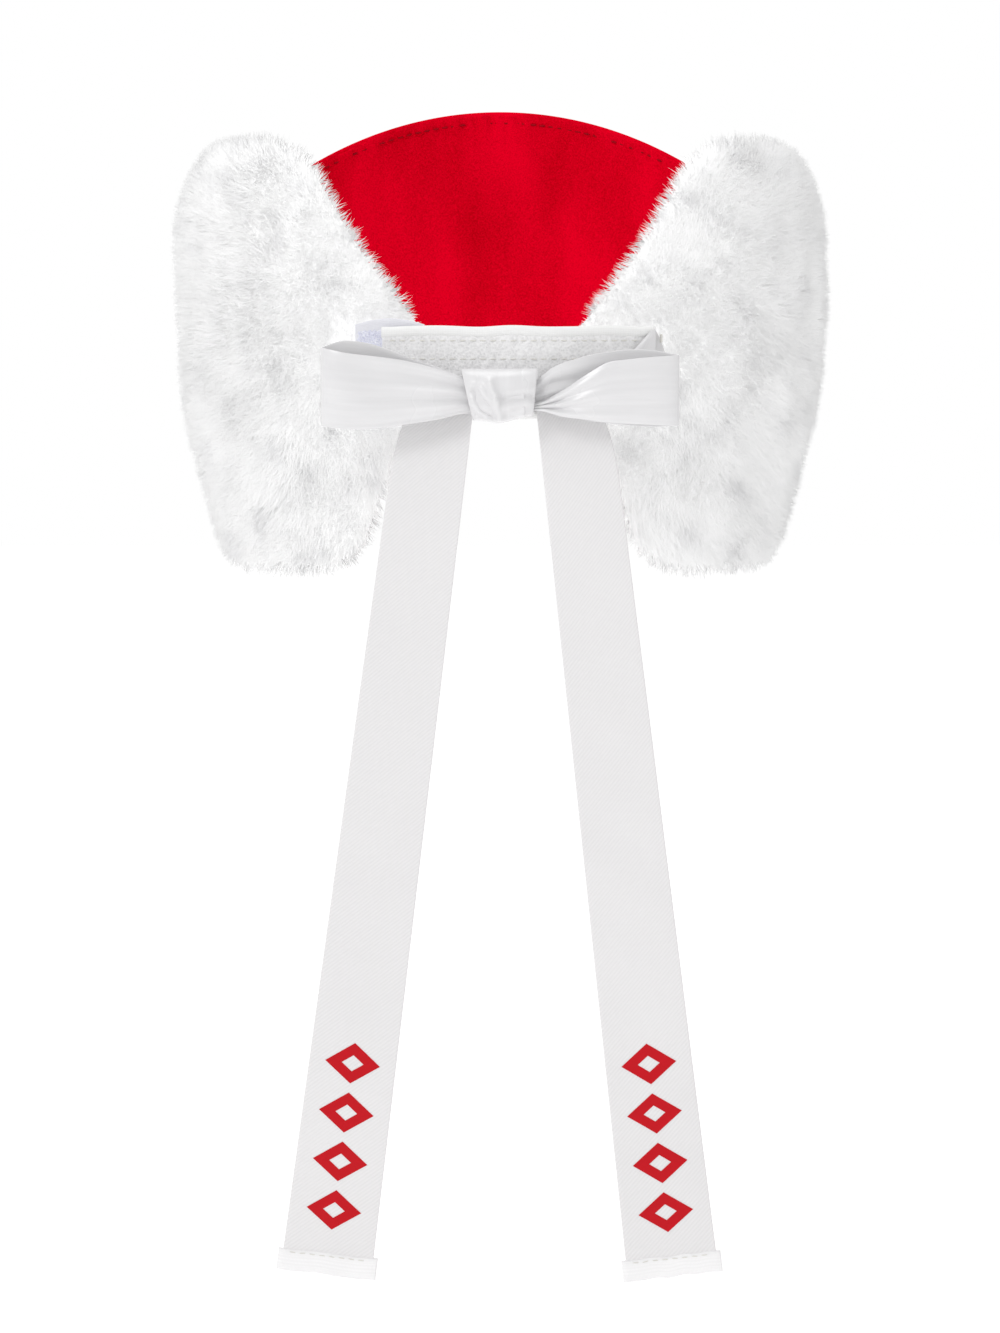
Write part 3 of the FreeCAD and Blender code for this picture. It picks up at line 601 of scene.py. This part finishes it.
def ear_pad(name, side, seed):
    """Stuffed body of one ear under its fur: thick in the middle, thin at its rim and at the flap's end."""
    outline = ear_outline(PILE_REACH)
    centre = np.array([4 * MM, 8 * MM])
    shares = 1 - np.linspace(0, 0.97, 34) ** 1.3
    flat = centre + shares[:, None, None] * (outline - centre)
    s, z = flat[..., 0], flat[..., 1]
    edge = np.min(np.linalg.norm(flat[:, :, None, :] - outline[None, None], axis=-1), axis=2)
    edge[0] = 0
    # The pad rounds off to its rim over this width: wide near its top, narrow at the front seam
    high = smooth((z - 30 * MM) / (45 * MM))
    to_seam = smooth((s - EAR_SEAM + 34 * MM) / (30 * MM))
    soft = (23 + 15 * high - 9 * to_seam) * MM
    # It thins down the flap
    full = 1 - 0.5 * np.clip(-z / (63 * MM), 0, 1.2)
    lumps = 0.035 * waves(seed, 40 * MM, s, z) + 0.012 * waves(seed + 1, 18 * MM, s, z)
    outer = RIM + (full - RIM + lumps) * bulge(edge / soft)
    inner = RIM + (0.06 - RIM) * bulge(edge / (9 * MM))
    layers = []
    for depth in (outer, inner):
        x, y = ear_point(s, depth)
        layers.append(np.stack([side * x, y, z], -1))
    rings, around = s.shape
    columns = np.arange(around)
    after = (columns + 1) % around
    faces = []
    for layer in (0, 1):
        for ring in range(rings - 1):
            first = layer * rings * around + ring * around
            faces.append(np.stack([first + columns, first + after, first + around + after,
                                   first + around + columns], -1))
    points = np.concatenate([layer.reshape(-1, 3) for layer in layers])
    return closed(new_piece(name, points, np.concatenate(faces)))


def lining_place(side):
    """Fleece lining of one ear, on the head's side: each of its rows spans the outline at that height."""
    outline = ear_outline(PILE_REACH + 4 * MM)
    low, high = outline[:, 1].min(), outline[:, 1].max()

    def place(u, v):
        z = low + (high - low) * (0.01 + 0.98 * v)
        ends = []
        for pick in (np.min, np.max):
            row = []
            for level in z[:, 0]:
                crossing = np.abs(outline[:, 1] - level) < 4 * MM
                row.append(pick(outline[crossing, 0]))
            row = np.convolve(np.pad(row, 2, mode="edge"), np.ones(5) / 5, mode="valid")
            ends.append(row[:, None])
        s = ends[0] + u * (ends[1] - ends[0])
        x, y = ear_point(s, 0.012)
        return side * x, y, z
    return place


STRAND_WIDTH = 0.26 * MM
STRANDS_PER_TUFT = 12
TUFT_PULL = 0.25                # share of the way that a strand's tip leans to its tuft's tip


def pile(name, pad, keep, count, length, seed):
    """Tapered strands standing on a pad, leaning down and away from the ear's middle in soft tufts."""
    random = np.random.default_rng(seed)
    mesh = pad.data
    mesh.calc_loop_triangles()
    corners = np.empty(len(mesh.loop_triangles) * 3, np.int32)
    mesh.loop_triangles.foreach_get("vertices", corners)
    places = np.empty(len(mesh.vertices) * 3, np.float32)
    mesh.vertices.foreach_get("co", places)
    normals = np.empty(len(mesh.vertices) * 3, np.float32)
    mesh.vertex_normals.foreach_get("vector", normals)
    corners = corners.reshape(-1, 3)
    places = places.reshape(-1, 3).astype(float)[corners]
    normals = normals.reshape(-1, 3).astype(float)[corners]
    area = np.linalg.norm(np.cross(places[:, 1] - places[:, 0], places[:, 2] - places[:, 0]), axis=1)
    weight = area * keep(places.mean(1), unit(normals.mean(1)))
    chosen = random.choice(len(area), count, p=weight / weight.sum())
    shares = random.dirichlet((1, 1, 1), count)
    root = (places[chosen] * shares[..., None]).sum(1)
    normal = unit((normals[chosen] * shares[..., None]).sum(1))
    middle = (places.mean(1) * area[:, None]).sum(0) / area.sum()
    lie = unit(root - middle) * 0.6 + np.array([0, 0, -0.35])
    lie = lie + 0.3 * np.stack([waves(seed + i, 24 * MM, *root.T) for i in (1, 2, 3)], -1)
    lie = lie - normal * (lie * normal).sum(1, keepdims=True)
    heading = unit(normal + 0.6 * lie + 0.2 * random.normal(size=(count, 3)))
    # Strap and bow press the fur down
    pressed = np.where((root[:, 1] < -60 * MM) & (np.abs(root[:, 2]) < 20 * MM)
                       & (np.abs(root[:, 0]) < 62 * MM), 0.4, 1.0)
    long = length * random.uniform(0.7, 1.2, count) * pressed
    tip = root + heading * long[:, None]
    tufts = KDTree(count // STRANDS_PER_TUFT)
    for i in range(count // STRANDS_PER_TUFT):
        tufts.insert(tip[i], i)
    tufts.balance()
    nearest = np.array([tufts.find(point)[1] for point in tip])
    tip = tip + (tip[nearest] - tip) * TUFT_PULL
    # Tones fall at random from tuft to tuft; their differing glow paints tufts lighter and darker
    tone = waves(seed + 5, 12 * MM, *root.T) + 0.7 * random.normal(size=count)
    side = unit(np.cross(heading, random.normal(size=(count, 3))))
    other = np.cross(heading, side)
    base = []
    for turn in (0, 2 * math.pi / 3, 4 * math.pi / 3):
        aside = (side * math.cos(turn) + other * math.sin(turn)) * STRAND_WIDTH
        base.append(root - heading * 0.6 * MM + aside)
    points = np.stack([*base, tip], 1).reshape(-1, 3)
    one = np.array([(0, 1, 3), (1, 2, 3), (2, 0, 3)])
    faces = (one[None] + 4 * np.arange(count)[:, None, None]).reshape(-1, 3)
    piece = new_piece(name, points, faces)
    for material in FUR_TONES:
        piece.data.materials.append(material)
    tones = np.digitize(tone, (0.55, 1.5))
    piece.data.polygons.foreach_set("material_index", np.repeat(tones, 3).astype(np.int32))
    shade = unit(normal[:, None] + 0.35 * np.stack([side, other, -side - other, heading], 1))
    piece.data.polygons.foreach_set("use_smooth", np.ones(len(faces), bool))
    piece.data.normals_split_custom_set_from_vertices(shade.reshape(-1, 3))
    return piece


LINING_SIZE = (158 * MM, 150 * MM)


def ear(name, seed):
    """Pad, lining, fur and fleece of one ear."""
    side = SIDES[name]
    pad = ear_pad("ear_pad_" + name, side, seed)
    dressed(pad, BACKING)
    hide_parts(name + "_side_fur", name + "_flap_fur", name + "_side_wadding",
                name + "_flap_wadding")

    def facing(points, normals):
        """How far a face looks away from the head, 0 to 1."""
        plan = unit(points * (1, 1, 0))
        return smooth((plan * normals).sum(1) * 1.6 + 0.75)

    fur = pile("ear_fur_" + name, pad, facing, 65000, 6 * MM, seed + 10)
    fleece = pile("ear_fleece_" + name, pad, lambda p, n: 1 - facing(p, n), 36000, 5 * MM, seed + 20)
    lining = cloth("ear_lining_" + name, lining_place(side), LINING_SIZE, (60, 60), 0.8 * MM)
    dressed(lining, FELT)
    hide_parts(name + "_side_lining", name + "_flap_lining")
    for piece in (pad, lining, fur, fleece):
        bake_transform(piece)


# ---------------------------------------------------------------- strap

def strap_point(offset, x, z):
    """Point of the back strap at a distance outside its face."""
    return x, ellipse_y(grown(STRAP, offset), x), z


def strap_sheet(name, offset, thickness, left, right, half_height, ripple, grid=(90, 26)):
    """Sheet of cloth along the back, between two x."""
    size = (right - left, 2 * half_height)

    def place(u, v):
        x = left + u * size[0]
        z = (2 * v - 1) * half_height
        return strap_point(offset + ripple(x, z), x, z)
    return cloth(name, place, size, grid, thickness), size


def strap_hem(name, up):
    """Rolled hem along the strap's top (up = 1) or bottom (up = -1) edge."""
    wall = 3.2 * MM
    half_height = 2.05 * MM

    def place(u, turn):
        out, rise = rounded_box(turn, wall / 2 + 0.5 * MM, half_height, 2.6)
        x = STRAP_LEFT - 0.4 * MM + u * (STRAP_RIGHT - STRAP_LEFT + 0.8 * MM)
        out = out * (1 + 0.05 * waves(31, 9 * MM, x) * np.sin(turn) ** 2)
        edge = STRAP_TOP + 0.5 * MM - half_height + 0.25 * MM * waves(32, 26 * MM, x)
        return strap_point(out - wall / 2, x, up * (edge + rise))
    return roll(name, place, (97 * MM, 12 * MM), (150, 18))


def strap_thread():
    """Two rows of topstitching near the strap's top."""
    face = grown(STRAP, 0.05 * MM)
    rows = []
    for below in (4.7 * MM, 11.2 * MM):
        x = np.arange(STRAP_LEFT + STITCH_PITCH, STRAP_RIGHT - STITCH_PITCH, STITCH_PITCH)
        z = np.full_like(x, STRAP_TOP - below)
        rows.append(np.stack([x, ellipse_y(face, x), z], -1))
    centres = np.concatenate(rows)
    x, y = centres[:, 0], centres[:, 1]
    along = unit(np.stack([-y / face[1] ** 2, x / face[0] ** 2, 0 * x], -1))
    outward = unit(np.stack([x / face[0] ** 2, y / face[1] ** 2, 0 * x], -1))
    return stitches("strap_thread", centres, along, outward, (2.2 * MM, 0.55 * MM, 0.35 * MM), 12)


def loop_patch_place(u, v):
    """Lavender loop patch, with a ragged cut edge at its left and top."""
    low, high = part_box("loop_patch")
    ragged = 0.5 * MM * waves(41, 1.6 * MM, v * (high.z - low.z)) * (1 - u) ** 4
    x = low.x + u * (high.x - low.x) + ragged
    z = low.z + v * (high.z - low.z) + 0.4 * MM * waves(42, 1.6 * MM, x) * v ** 8
    return x, ellipse_y(grown((FUR_X, FUR_BACK), 1.6 * MM), x), z


def loop_tab_place(u, v):
    """Tab that the loop patch is sewn on: its top edge arches above the strap."""
    low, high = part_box("loop_tab")
    x = low.x + u * (high.x - low.x)
    arch = 2.2 * MM * np.sin(math.pi * u) * v ** 3
    z = low.z + v * (high.z - low.z) + arch
    lean = 1.6 * MM * v ** 6
    return x, ellipse_y(grown((FUR_X, FUR_BACK), 0.6 * MM + lean), x), z


FOLD_SIZE = (11 * MM, 11 * MM)
LOOP_PATCH_SIZE = (23 * MM, 30 * MM)
LOOP_TAB_SIZE = (25 * MM, 34 * MM)
ROOT_TAB_SIZE = (15.5 * MM, 32 * MM)


def root_tab_place(u, v):
    """Satin tab that the strap's right end is sewn on, sinking into the fur at its far end."""
    low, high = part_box("strap_root_tab")
    x = low.x + u * ROOT_TAB_SIZE[0]
    z = low.z + v * (high.z - low.z) - 9 * MM * np.clip((u - 0.7) / 0.3, 0, 1) ** 1.5 * v
    proud = 1.2 * MM - 1.0 * MM * u ** 4 + 0.3 * MM * waves(43, 12 * MM, x, z)
    return x, ellipse_y(grown((FUR_X, FUR_BACK), proud), x), z


def end_fold_place(u, v):
    """Satin triangle folded over the strap's right end."""
    top = STRAP_TOP - 0.6 * MM
    x = STRAP_RIGHT + 0.6 * MM - (1 - u) * (1.5 * MM + 10 * MM * v)
    z = top - 11 * MM * v - 0.6 * MM * (1 - u)
    puff = 0.9 * MM * np.sin(math.pi * u) * smooth(3 * v)
    return strap_point(1.3 * MM + puff, x, z)


def strap():
    """Strap with its hems, thread and fastening, and what it is fastened to."""
    half_height = STRAP_TOP - 1.5 * MM
    face, size = strap_sheet("strap_boucle", -0.6 * MM, 1.2 * MM, STRAP_LEFT, STRAP_RIGHT, half_height,
                             lambda x, z: 0.12 * MM * waves(33, 5 * MM, x, z))
    fitted(face, BOUCLE, "strap_cloth", "back_strap", "strap_face")
    back, size = strap_sheet("strap_backing", -2.8 * MM, 0.8 * MM, STRAP_LEFT, STRAP_RIGHT, half_height,
                             lambda x, z: 0 * x)
    fitted(back, COTTON, "strap_cloth", "back_strap", "strap_lining")
    fitted(strap_hem("strap_hem_top", 1), TAPE, "binding_tape", "back_strap", "strap_top_binding")
    fitted(strap_hem("strap_hem_bottom", -1), TAPE, "binding_tape", "back_strap", "strap_bottom_binding")
    fitted(strap_thread(), WHITE_THREAD, "white_thread", "back_strap", "strap_topstitching")
    low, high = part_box("hook_patch")
    hook, size = strap_sheet("hook_tape_strip", -3.75 * MM, 0.9 * MM, low.x, high.x, high.z,
                             lambda x, z: 0 * x, (30, 26))
    fitted(hook, HOOKS, "hook_tape", "back_strap", "hook_patch")
    fold = cloth("strap_end_fold", end_fold_place, FOLD_SIZE, (16, 16), 0.5 * MM)
    dressed(fold, SATIN)
    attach(fold, "back_strap")
    patch = cloth("loop_pile_patch", loop_patch_place, LOOP_PATCH_SIZE, (50, 60), 0.9 * MM)
    fitted(patch, LAVENDER, "loop_tape", "crown", "loop_patch")
    tab = cloth("loop_patch_tab", loop_tab_place, LOOP_TAB_SIZE, (40, 40), 0.9 * MM)
    fitted(tab, LAVENDER_CLOTH, "lavender_cloth", "crown", "loop_tab")
    root = cloth("satin_root_tab", root_tab_place, ROOT_TAB_SIZE, (24, 30), 0.8 * MM)
    fitted(root, SATIN, "white_satin", "crown", "strap_root_tab")


# ---------------------------------------------------------------- bow

LOOP_LOW, LOOP_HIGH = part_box("bow_loop_right")
BOW_Y = (LOOP_LOW.y + LOOP_HIGH.y) / 2
LOOP_START = LOOP_LOW.x
LOOP_REACH = LOOP_HIGH.x
LOOP_HALF_DEPTH = (LOOP_HIGH.y - LOOP_LOW.y) / 2
LOOP_SIZE = (26 * MM, 2 * (LOOP_REACH - LOOP_START) + 14 * MM)
KNOT_SIZE = (25 * MM, 52 * MM)

# Edges of each loop's two layers in millimetres: (distance from the middle, lower edge, top edge)
LOOPS = {
    "right": {
        "back": [(8, -13, -5), (12, -13, -3.3), (18, -14, 1.5), (27, -16, 5), (40, -18, 7.7),
                 (53, -19, 8.1), (63, -18.5, 6.4)],
        "front": [(8, -13.5, -10.5), (13, -13, -10.6), (22, -15.2, -6.2), (31, -16.4, -0.1),
                  (38, -17.3, 3.8), (44, -17.7, 4.7), (63, -18.5, 6.4)],
    },
    "left": {
        "back": [(8, -14, -2), (14, -14.5, -1), (22, -16, 2), (31, -17.5, 4.9), (39, -18.6, 8.1),
                 (48, -19.2, 10.7), (57, -19.2, 11.1), (63, -18.7, 9)],
        "front": [(8, -13.6, -3), (12, -14, -1.8), (22, -16.3, 1.5), (33, -18, 4.3), (45, -19.6, 6),
                  (54, -19.7, 7.1), (63, -18.7, 9)],
    },
}


def loop_place(name):
    """Satin loop: out along the back layer, round the tip and back along the front layer."""
    edges = LOOPS[name]
    side = SIDES[name]

    def place(u, v):
        turn = 2 * math.pi * v
        share = (1 - np.cos(turn)) / 2
        x = LOOP_START + (LOOP_REACH - LOOP_START) * share
        front = smooth((v - 0.46) / 0.08)
        heights = []
        for edge in (1, 2):
            back_edge = through([(row[0], row[edge]) for row in edges["back"]], x / MM)
            front_edge = through([(row[0], row[edge]) for row in edges["front"]], x / MM)
            heights.append((back_edge + (front_edge - back_edge) * front) * MM)
        z = heights[0] + u * (heights[1] - heights[0])
        half_depth = LOOP_HALF_DEPTH * (0.25 + 0.75 * share)
        y = -half_depth * np.sign(-np.sin(turn)) * np.abs(np.sin(turn)) ** 0.75
        near = np.exp(-(x - LOOP_START) / (13 * MM))
        fold = np.cos(2 * math.pi * 2.8 * u + 1.2 * side + 3 * front) * near
        y = y - 1.8 * MM * fold * (2 * front - 1) * smooth(4 * share)
        y = y - 0.5 * MM * waves(51 + side, 26 * MM, x, z) * share
        y = y - 0.8 * MM * (2 * front - 1) * np.sin(math.pi * u) * share
        return side * x, BOW_Y + y, z
    return place


# Folds in the knot's wrap in millimetres: (start, end, width, height)
KNOT_FOLDS = [
    ((-3.6, -3.0), (-1.6, -8.5), 1.3, 1.1), ((-1.6, -8.5), (-0.2, -15.5), 1.4, 1.5),
    ((-8.8, -6.0), (-5.5, -11.5), 1.7, -1.3), ((-5.5, -11.5), (-2.2, -14.5), 1.4, -1.3),
    ((-10, -10.5), (-4.5, -15.5), 1.5, 0.9), ((-7, -5.0), (-3.4, -9.5), 1.2, 0.5),
    ((1.8, -8.6), (11, -8.8), 1.5, -1.0), ((1.8, -11.6), (10, -11.4), 1.7, 0.7),
    ((2.4, -14.0), (8, -14.2), 1.2, -0.5),
]


def knot_place(u, v):
    """Wrap round the middle of the bow, gathered into soft folds on its front."""
    low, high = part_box("bow_knot_wrap")
    turn = math.pi * (0.5 - 1.98 * v)
    half_depth = (high.y - low.y) / 2 - 0.4 * MM
    half_height = (high.z - low.z) / 2 - 0.4 * MM
    depth, rise = rounded_box(turn, half_depth, half_height, 2.2)
    z = (low.z + high.z) / 2 + rise
    level = np.clip((z - low.z) / (high.z - low.z), 0, 1)
    left = -9.5 * MM - 4.2 * MM * level
    right = 11.6 * MM + 1.6 * MM * level
    x = left + u * (right - left)
    front = smooth((depth / (high.y - low.y) + 0.1) * 4)
    lift = sum(height * crease(x / MM, z / MM, start, end, width)
               for start, end, width, height in KNOT_FOLDS)
    lift = 1.4 * lift - 2.6 * (np.abs(2 * u - 1) ** 4) + 0.2 * waves(61, 9 * MM, x, z)
    sag = -0.9 * MM * (1 - level) * np.exp(-((x + 1 * MM) / (4 * MM)) ** 2)
    sag = sag + 1.6 * MM * (1 - level) * smooth((x - 2 * MM) / (9 * MM))
    return x, (low.y + high.y) / 2 - depth - lift * MM * front, z + sag


def bow():
    """Two loops and the wrap round the gathered middle."""
    for name in SIDES:
        loop = cloth("satin_loop_" + name, loop_place(name), LOOP_SIZE, (46, 150), 0.6 * MM, 0.5 * MM)
        fitted(loop, SATIN, "white_satin", "back_strap", "bow_loop_" + name)
    knot = cloth("satin_knot", knot_place, KNOT_SIZE, (70, 150), 0.7 * MM)
    fitted(knot, SATIN, "white_satin", "back_strap", "bow_knot_wrap")


# ---------------------------------------------------------------- tails

TAIL_THICKNESS = 1.0 * MM
TAIL_TOP_WIDTH = 26.6 * MM
TAIL_END_WIDTH = 33.4 * MM
TAIL_LENGTH = 309 * MM
TAIL_ROOT = 18 * MM
TAIL_LEAN = {"left": math.radians(7.4), "right": math.radians(-6.7)}
HEM_HEIGHT = 8 * MM
HEM_SIDE = 1.6 * MM
HEM_MIDDLE = TAIL_LENGTH - HEM_HEIGHT / 2
PRINT_ABOVE_END = 52 * MM         # the middle of the print
DIAMONDS = 4
DIAMOND_PITCH = 18.4 * MM
DIAMOND = (20 * MM, 15 * MM)
DIAMOND_STROKE = 6.0 * MM         # across the diamond's width
TAIL_Y = (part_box("tail_left")[0].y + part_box("tail_left")[1].y) / 2


def tail_point(name, aside, down, proud=0.0):
    """Point of a tail: aside from its middle line, down from its hinge, proud of its middle surface."""
    hinge = HINGES["tail_%s_lift" % name]["pos_m"]
    lean = TAIL_LEAN[name]
    side = SIDES[name]
    x = hinge[0] + aside * math.cos(lean) - down * math.sin(lean)
    z = hinge[2] - down * math.cos(lean) - aside * math.sin(lean)
    hang = smooth(down / (60 * MM))
    y = -0.7 * MM * waves(71 + side, 110 * MM, down, 0.6 * aside) * hang
    y = y - 0.25 * MM * waves(73 + side, 30 * MM, down, aside) * hang
    return x, TAIL_Y + y - proud, z


def tail_width(down):
    """Width of a tail at a distance below its hinge."""
    return TAIL_TOP_WIDTH + (TAIL_END_WIDTH - TAIL_TOP_WIDTH) * down / TAIL_LENGTH


def tail(name):
    """One ribbon from its root under the bow, with its hem, thread and print."""
    side = SIDES[name]

    def ribbon_place(u, v):
        down = -TAIL_ROOT + v * (TAIL_ROOT + HEM_MIDDLE)
        aside = (u - 0.5) * tail_width(down)
        tuck = 2.4 * MM * np.exp(-np.maximum(down + 3 * MM, 0) / (7 * MM))
        aside = aside - side * tuck * smooth(0.5 + side * (u - 0.5))
        return tail_point(name, aside, down)

    size = (30 * MM, TAIL_ROOT + HEM_MIDDLE)
    ribbon = cloth("ribbon_tail_" + name, ribbon_place, size, (22, 190), TAIL_THICKNESS)
    dressed(ribbon, TWILL)
    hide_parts("tail_" + name, "tail_%s_root" % name)
    hem_width = tail_width(HEM_MIDDLE) + 2 * HEM_SIDE

    def hem_place(u, turn):
        thick, rise = rounded_box(turn, TAIL_THICKNESS / 2 + 0.6 * MM, HEM_HEIGHT / 2, 4.0)
        aside = (u - 0.5) * hem_width
        blunt = 1 - 0.5 * np.abs(2 * u - 1) ** 24
        down = HEM_MIDDLE - rise + 0.2 * MM * waves(75 + side, 12 * MM, aside)
        return tail_point(name, aside, down, thick * blunt)

    hem = roll("ribbon_hem_" + name, hem_place, (hem_width, 20 * MM), (60, 28))
    fitted(hem, HEM, "ribbon_twill", "tail_" + name, "tail_%s_hem" % name)
    row = TAIL_LENGTH - HEM_HEIGHT + 1 * MM
    half = tail_width(row) / 2 - STITCH_PITCH
    aside = np.arange(-half, half, STITCH_PITCH)
    centres = np.stack(tail_point(name, aside, row + 0 * aside, 1.1 * MM), -1)
    lean = TAIL_LEAN[name]
    along = np.tile((math.cos(lean), 0, -math.sin(lean)), (len(aside), 1))
    outward = np.tile((0.0, -1.0, 0.0), (len(aside), 1))
    thread = stitches("hem_thread_" + name, centres, along, outward, (2.2 * MM, 0.4 * MM, 0.3 * MM), 13)
    fitted(thread, WHITE_THREAD, "white_thread", "tail_" + name, "tail_%s_hem_stitches" % name)
    fitted(tail_print(name), INK, "red_ink", "tail_" + name, "tail_%s_print" % name)
    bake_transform(ribbon)


def tail_print(name):
    """A row of open diamonds on the front of a tail."""
    share = 1 - 2 * DIAMOND_STROKE / DIAMOND[0]
    corners = np.array([(0, 1), (1, 0), (0, -1), (-1, 0), (0, 1)], float) * np.array(DIAMOND) / 2
    ring = np.concatenate([np.linspace(*ends, 12, endpoint=False) for ends in zip(corners, corners[1:])])
    points, faces = [], []
    count = len(ring)
    number = np.arange(count)
    after = (number + 1) % count
    for i in range(DIAMONDS):
        middle = TAIL_LENGTH - PRINT_ABOVE_END + (i - (DIAMONDS - 1) / 2) * DIAMOND_PITCH
        layers = [(1.0, 0.0), (1.0, 0.12), (share, 0.12), (share, 0.0)]
        first = len(points) * count
        for scale, proud in layers:
            place = tail_point(name, ring[:, 0] * scale, middle - ring[:, 1] * scale,
                               TAIL_THICKNESS / 2 + proud * MM)
            points.append(np.stack(place, -1))
        for layer in range(4):
            here = first + layer * count
            there = first + (layer + 1) % 4 * count
            faces.append(np.stack([here + number, here + after, there + after, there + number], -1))
    piece = closed(new_piece("diamond_print_" + name, np.concatenate(points), np.concatenate(faces)))
    piece.data.polygons.foreach_set("use_smooth", np.zeros(len(piece.data.polygons), bool))
    return piece


# ---------------------------------------------------------------- CAD nodes that stay

def keep_node(node, material):
    """A CAD node that stays gets its finish."""
    shown = frame["nodes"][node]
    for slot in shown.material_slots:
        slot.material = material


def kept_nodes():
    """Inner pieces that keep their CAD shape."""
    keep_node("front_panel_stiffener", FELT)
    keep_node("strap_core", FELT)
    keep_node("strap_root_tacks", WHITE_THREAD)
    keep_node("bow_gathered_centre", SATIN)


# ---------------------------------------------------------------- studio

def light(name, place, size, power):
    """Square soft light aimed at the middle of the head opening."""
    data = bpy.data.lights.new(name, "AREA")
    data.size = size
    data.energy = power
    lamp = bpy.data.objects.new(name, data)
    bpy.context.scene.collection.objects.link(lamp)
    lamp.location = place
    lamp.rotation_euler = (-Vector(place)).to_track_quat("-Z", "Y").to_euler()


SKY_LEFT = 0.87                 # strength of the surroundings' light, from left to right
SKY_RIGHT = 0.68
FLOOR_HALF = 4.0
FLOOR_BELOW = 12 * MM
FLOOR_GLOW = 0.42
CAMERA_LENS = 90
CAMERA_DISTANCE = 1.3
CAMERA_RISE = math.radians(6.0)
CAMERA_AIM_BELOW = 1.6 * MM


def studio():
    """White surroundings, pale floor, soft lights and the camera."""
    scene = bpy.context.scene
    scene.view_settings.view_transform = "Standard"
    world = bpy.data.worlds.new("studio")
    scene.world = world
    world.use_nodes = True
    tree = world.node_tree
    background = tree.nodes["Background"]
    seen = add(tree, "LightPath").outputs["Is Camera Ray"]
    heading = add(tree, "SeparateXYZ", {0: add(tree, "TexCoord").outputs["Generated"]}).outputs["X"]
    lit = add(tree, "MapRange", {"Value": heading, "From Min": -1.0, "From Max": 1.0,
                                 "To Min": SKY_LEFT, "To Max": SKY_RIGHT})
    strength = add(tree, "MapRange", {"Value": seen, "To Min": lit.outputs[0], "To Max": 1.0})
    tree.links.new(strength.outputs[0], background.inputs["Strength"])
    background.inputs["Color"].default_value = (1, 1, 1, 1)
    low, high = CAD_BOX
    corners = [(FLOOR_HALF * x, FLOOR_HALF * y, 0) for x, y in ((-1, -1), (1, -1), (1, 1), (-1, 1))]
    floor = new_piece("floor", corners, [(0, 1, 2, 3)])
    floor.location.z = low.z - FLOOR_BELOW
    paint = bpy.data.materials.new("floor_white")
    paint.use_nodes = True
    shader = paint.node_tree.nodes["Principled BSDF"]
    shader.inputs["Base Color"].default_value = (0.8, 0.8, 0.8, 1)
    shader.inputs["Roughness"].default_value = 1.0
    shader.inputs["Specular IOR Level"].default_value = 0.0
    shader.inputs["Emission Color"].default_value = (1, 1, 1, 1)
    shader.inputs["Emission Strength"].default_value = FLOOR_GLOW
    floor.data.materials.append(paint)
    light("key", (-0.6, -1.3, 0.9), 0.5, 5.5)
    light("top", (-0.1, 0.2, 1.3), 0.8, 4.0)
    data = bpy.data.cameras.new("camera")
    data.sensor_width = 36
    data.lens = CAMERA_LENS
    camera = bpy.data.objects.new("camera", data)
    scene.collection.objects.link(camera)
    scene.camera = camera
    aim = Vector((0, 0, (low.z + high.z) / 2 - CAMERA_AIM_BELOW))
    toward = Vector((0, -math.cos(CAMERA_RISE), math.sin(CAMERA_RISE)))
    camera.location = aim + CAMERA_DISTANCE * toward
    camera.rotation_euler = (aim - camera.location).to_track_quat("-Z", "Y").to_euler()


front_panel()
for ear_name, ear_seed in (("left", 100), ("right", 200)):
    ear(ear_name, ear_seed)
strap()
bow()
for tail_name in TAIL_LEAN:
    tail(tail_name)
kept_nodes()
studio()
